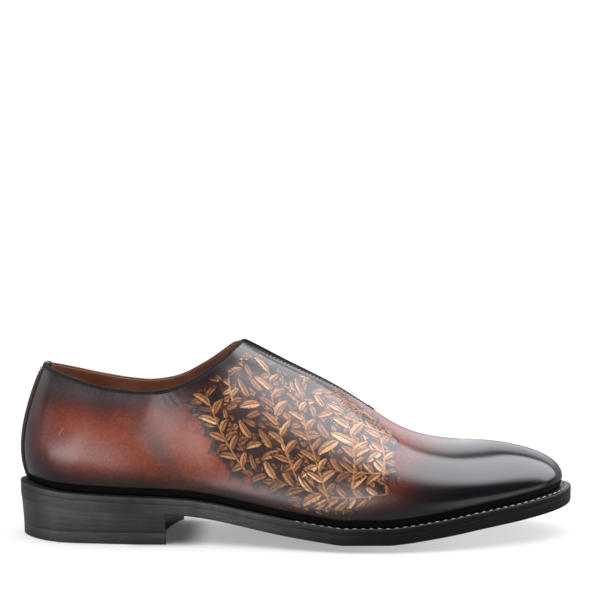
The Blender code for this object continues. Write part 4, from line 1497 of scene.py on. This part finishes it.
def make_floor():
    n = 24
    points = np.array(
        [[x + CENTRE_X, y + CENTRE_Y, -0.15] for x in np.linspace(-2500, 2500, n) for y in np.linspace(-150, 2500, n)]
    )
    index = np.arange(n * n).reshape(n, n)
    faces = np.stack([index[:-1, :-1], index[1:, :-1], index[1:, 1:], index[:-1, 1:]], -1).reshape(-1, 4)
    mesh = bpy.data.meshes.new("floor")
    mesh.from_pydata(((points - SHIFT) * MM).tolist(), [], faces.tolist())
    mesh.materials.append(floor_white())
    obj = bpy.data.objects.new("floor", mesh)
    bpy.context.scene.collection.objects.link(obj)


# Studio light, as places on a ceiling seen from the shoe: q is the run to the back for each metre up,
# p the run to the toe. A softbox hangs over the shoe, its edges slanting away beyond the toe. A lit
# backdrop rises behind it out of a dark gap. The room on the camera's side is dark, with a low pale
# band round the table, brightest by the heel. A small panel stands close in front of the quarter.
BOX, BOX_NEAR, NEAR_SLANT, BOX_FAR, FAR_SLANT = 6.2, -0.76, 0.36, 0.42, 0.30
BACKDROP, BACK_LOW = 3.0, 1.6
ROOM, BAND, BAND_HEEL, BAND_LEFT = 0.06, 1.2, 5.0, 1.1
BOX_TINT = (0.955, 0.985, 1.05)


def make_world():
    m = Shader("studio", world=True)
    x, y, z = m.axes()
    rise = m.math("MAXIMUM", z, 0.02)
    p, q = m.math("DIVIDE", x, rise), m.math("DIVIDE", y, rise)
    toe = m.math("MINIMUM", m.math("MAXIMUM", p, 0.0), 6.0)
    beyond = m.minus(q, m.plus(BOX_FAR, m.times(toe, FAR_SLANT)))
    within = m.minus(q, m.plus(BOX_NEAR, m.times(m.math("MINIMUM", m.math("MAXIMUM", p, -0.5), 1.0), NEAR_SLANT)))
    box = m.times(m.step(within, -0.30, 0.30), m.step(beyond, -0.04, 0.04, 1.0, 0.0))
    box = m.times(m.times(box, m.step(p, 0.8, 2.0, 1.0, 0.82)), m.step(p, -1.2, -0.5))
    box = m.times(box, m.step(p, 1.8, 7.0, 1.0, 0.0))
    back = m.times(m.step(beyond, 0.10, 0.40), m.step(q, 1.5, 6.0, BACKDROP, BACK_LOW))
    back = m.times(m.times(back, m.step(p, 0.2, 0.7, 1.0, 0.6)), m.step(p, 1.2, 2.6, 1.0, 0.4))
    back = m.times(back, m.step(p, -2.5, -0.8, 0.2, 1.0))
    ahead = m.math("MAXIMUM", m.times(y, -1.0), 0.02)
    aside = m.math("DIVIDE", x, ahead)
    band = m.times(m.step(z, 0.10, 0.21, 1.0, 0.0), m.step(aside, 0.30, 0.80, 0.2, BAND))
    band = m.times(band, m.step(y, -0.25, 0.0, 1.0, 0.0))
    heel = m.times(m.step(z, -0.16, 0.07, 1.0, 0.08), m.step(aside, -0.54, -0.10, BAND_HEEL, 0.0))
    heel = m.times(heel, m.step(y, -0.45, -0.20, 1.0, 0.0))
    left = m.times(m.step(z, -0.25, 0.0, 0.3, 1.0), m.step(z, 0.15, 0.40, BAND_LEFT, 0.0))
    left = m.times(left, m.times(m.step(aside, -5.0, -1.6, 1.0, 0.0), m.step(y, -0.10, 0.05, 1.0, 0.0)))
    heel = m.plus(heel, left)
    light = m.plus(m.plus(ROOM, m.times(box, BOX)), m.plus(back, m.plus(band, heel)))
    seen = m.add("ShaderNodeLightPath").outputs["Is Camera Ray"]
    m.feed(m.surface.inputs["Strength"], m.blend(seen, light, 1.05))
    m.feed(m.surface.inputs["Color"], m.mix(seen, BOX_TINT, (1.0, 1.0, 1.0)))
    bpy.context.scene.world = m.material


# A panel near the camera, brighter to its middle
PANEL = 3.9


def make_panel():
    slant = math.radians(50)
    long_way = Vector((math.cos(slant), 0.0, math.sin(slant)))
    away = Vector((0.0, -1.0, 0.0))
    for k, (long, wide) in enumerate(((0.330, 0.200), (0.240, 0.130), (0.150, 0.060))):
        lamp = bpy.data.lights.new(f"panel_{k}", "AREA")
        lamp.shape = "ELLIPSE"
        lamp.size, lamp.size_y = long, wide
        lamp.energy = PANEL * long * wide
        obj = bpy.data.objects.new(f"panel_{k}", lamp)
        obj.matrix_world = Matrix((long_way, away.cross(long_way), away)).transposed().to_4x4()
        obj.location = (0.009, -0.4385 - 0.001 * k, 0.140)
        obj.visible_camera = False
        bpy.context.scene.collection.objects.link(obj)


make_floor()
make_world()
make_panel()

camera = bpy.data.cameras.new("camera")
camera.sensor_width = 36.0
camera.lens = 68.45
camera.shift_x, camera.shift_y = 0.00625, 0.2504
camera.clip_start, camera.clip_end = 0.01, 50.0
eye, target = Vector((0.0002, -0.61852, 0.146)), Vector((0.0002, 0.00148, 0.045))
cam = bpy.data.objects.new("camera", camera)
cam.location = eye
cam.rotation_euler = (target - eye).to_track_quat("-Z", "Y").to_euler()
bpy.context.scene.collection.objects.link(cam)
bpy.context.scene.camera = cam
bpy.context.scene.view_settings.view_transform = "Standard"

bpy.context.view_layer.update()
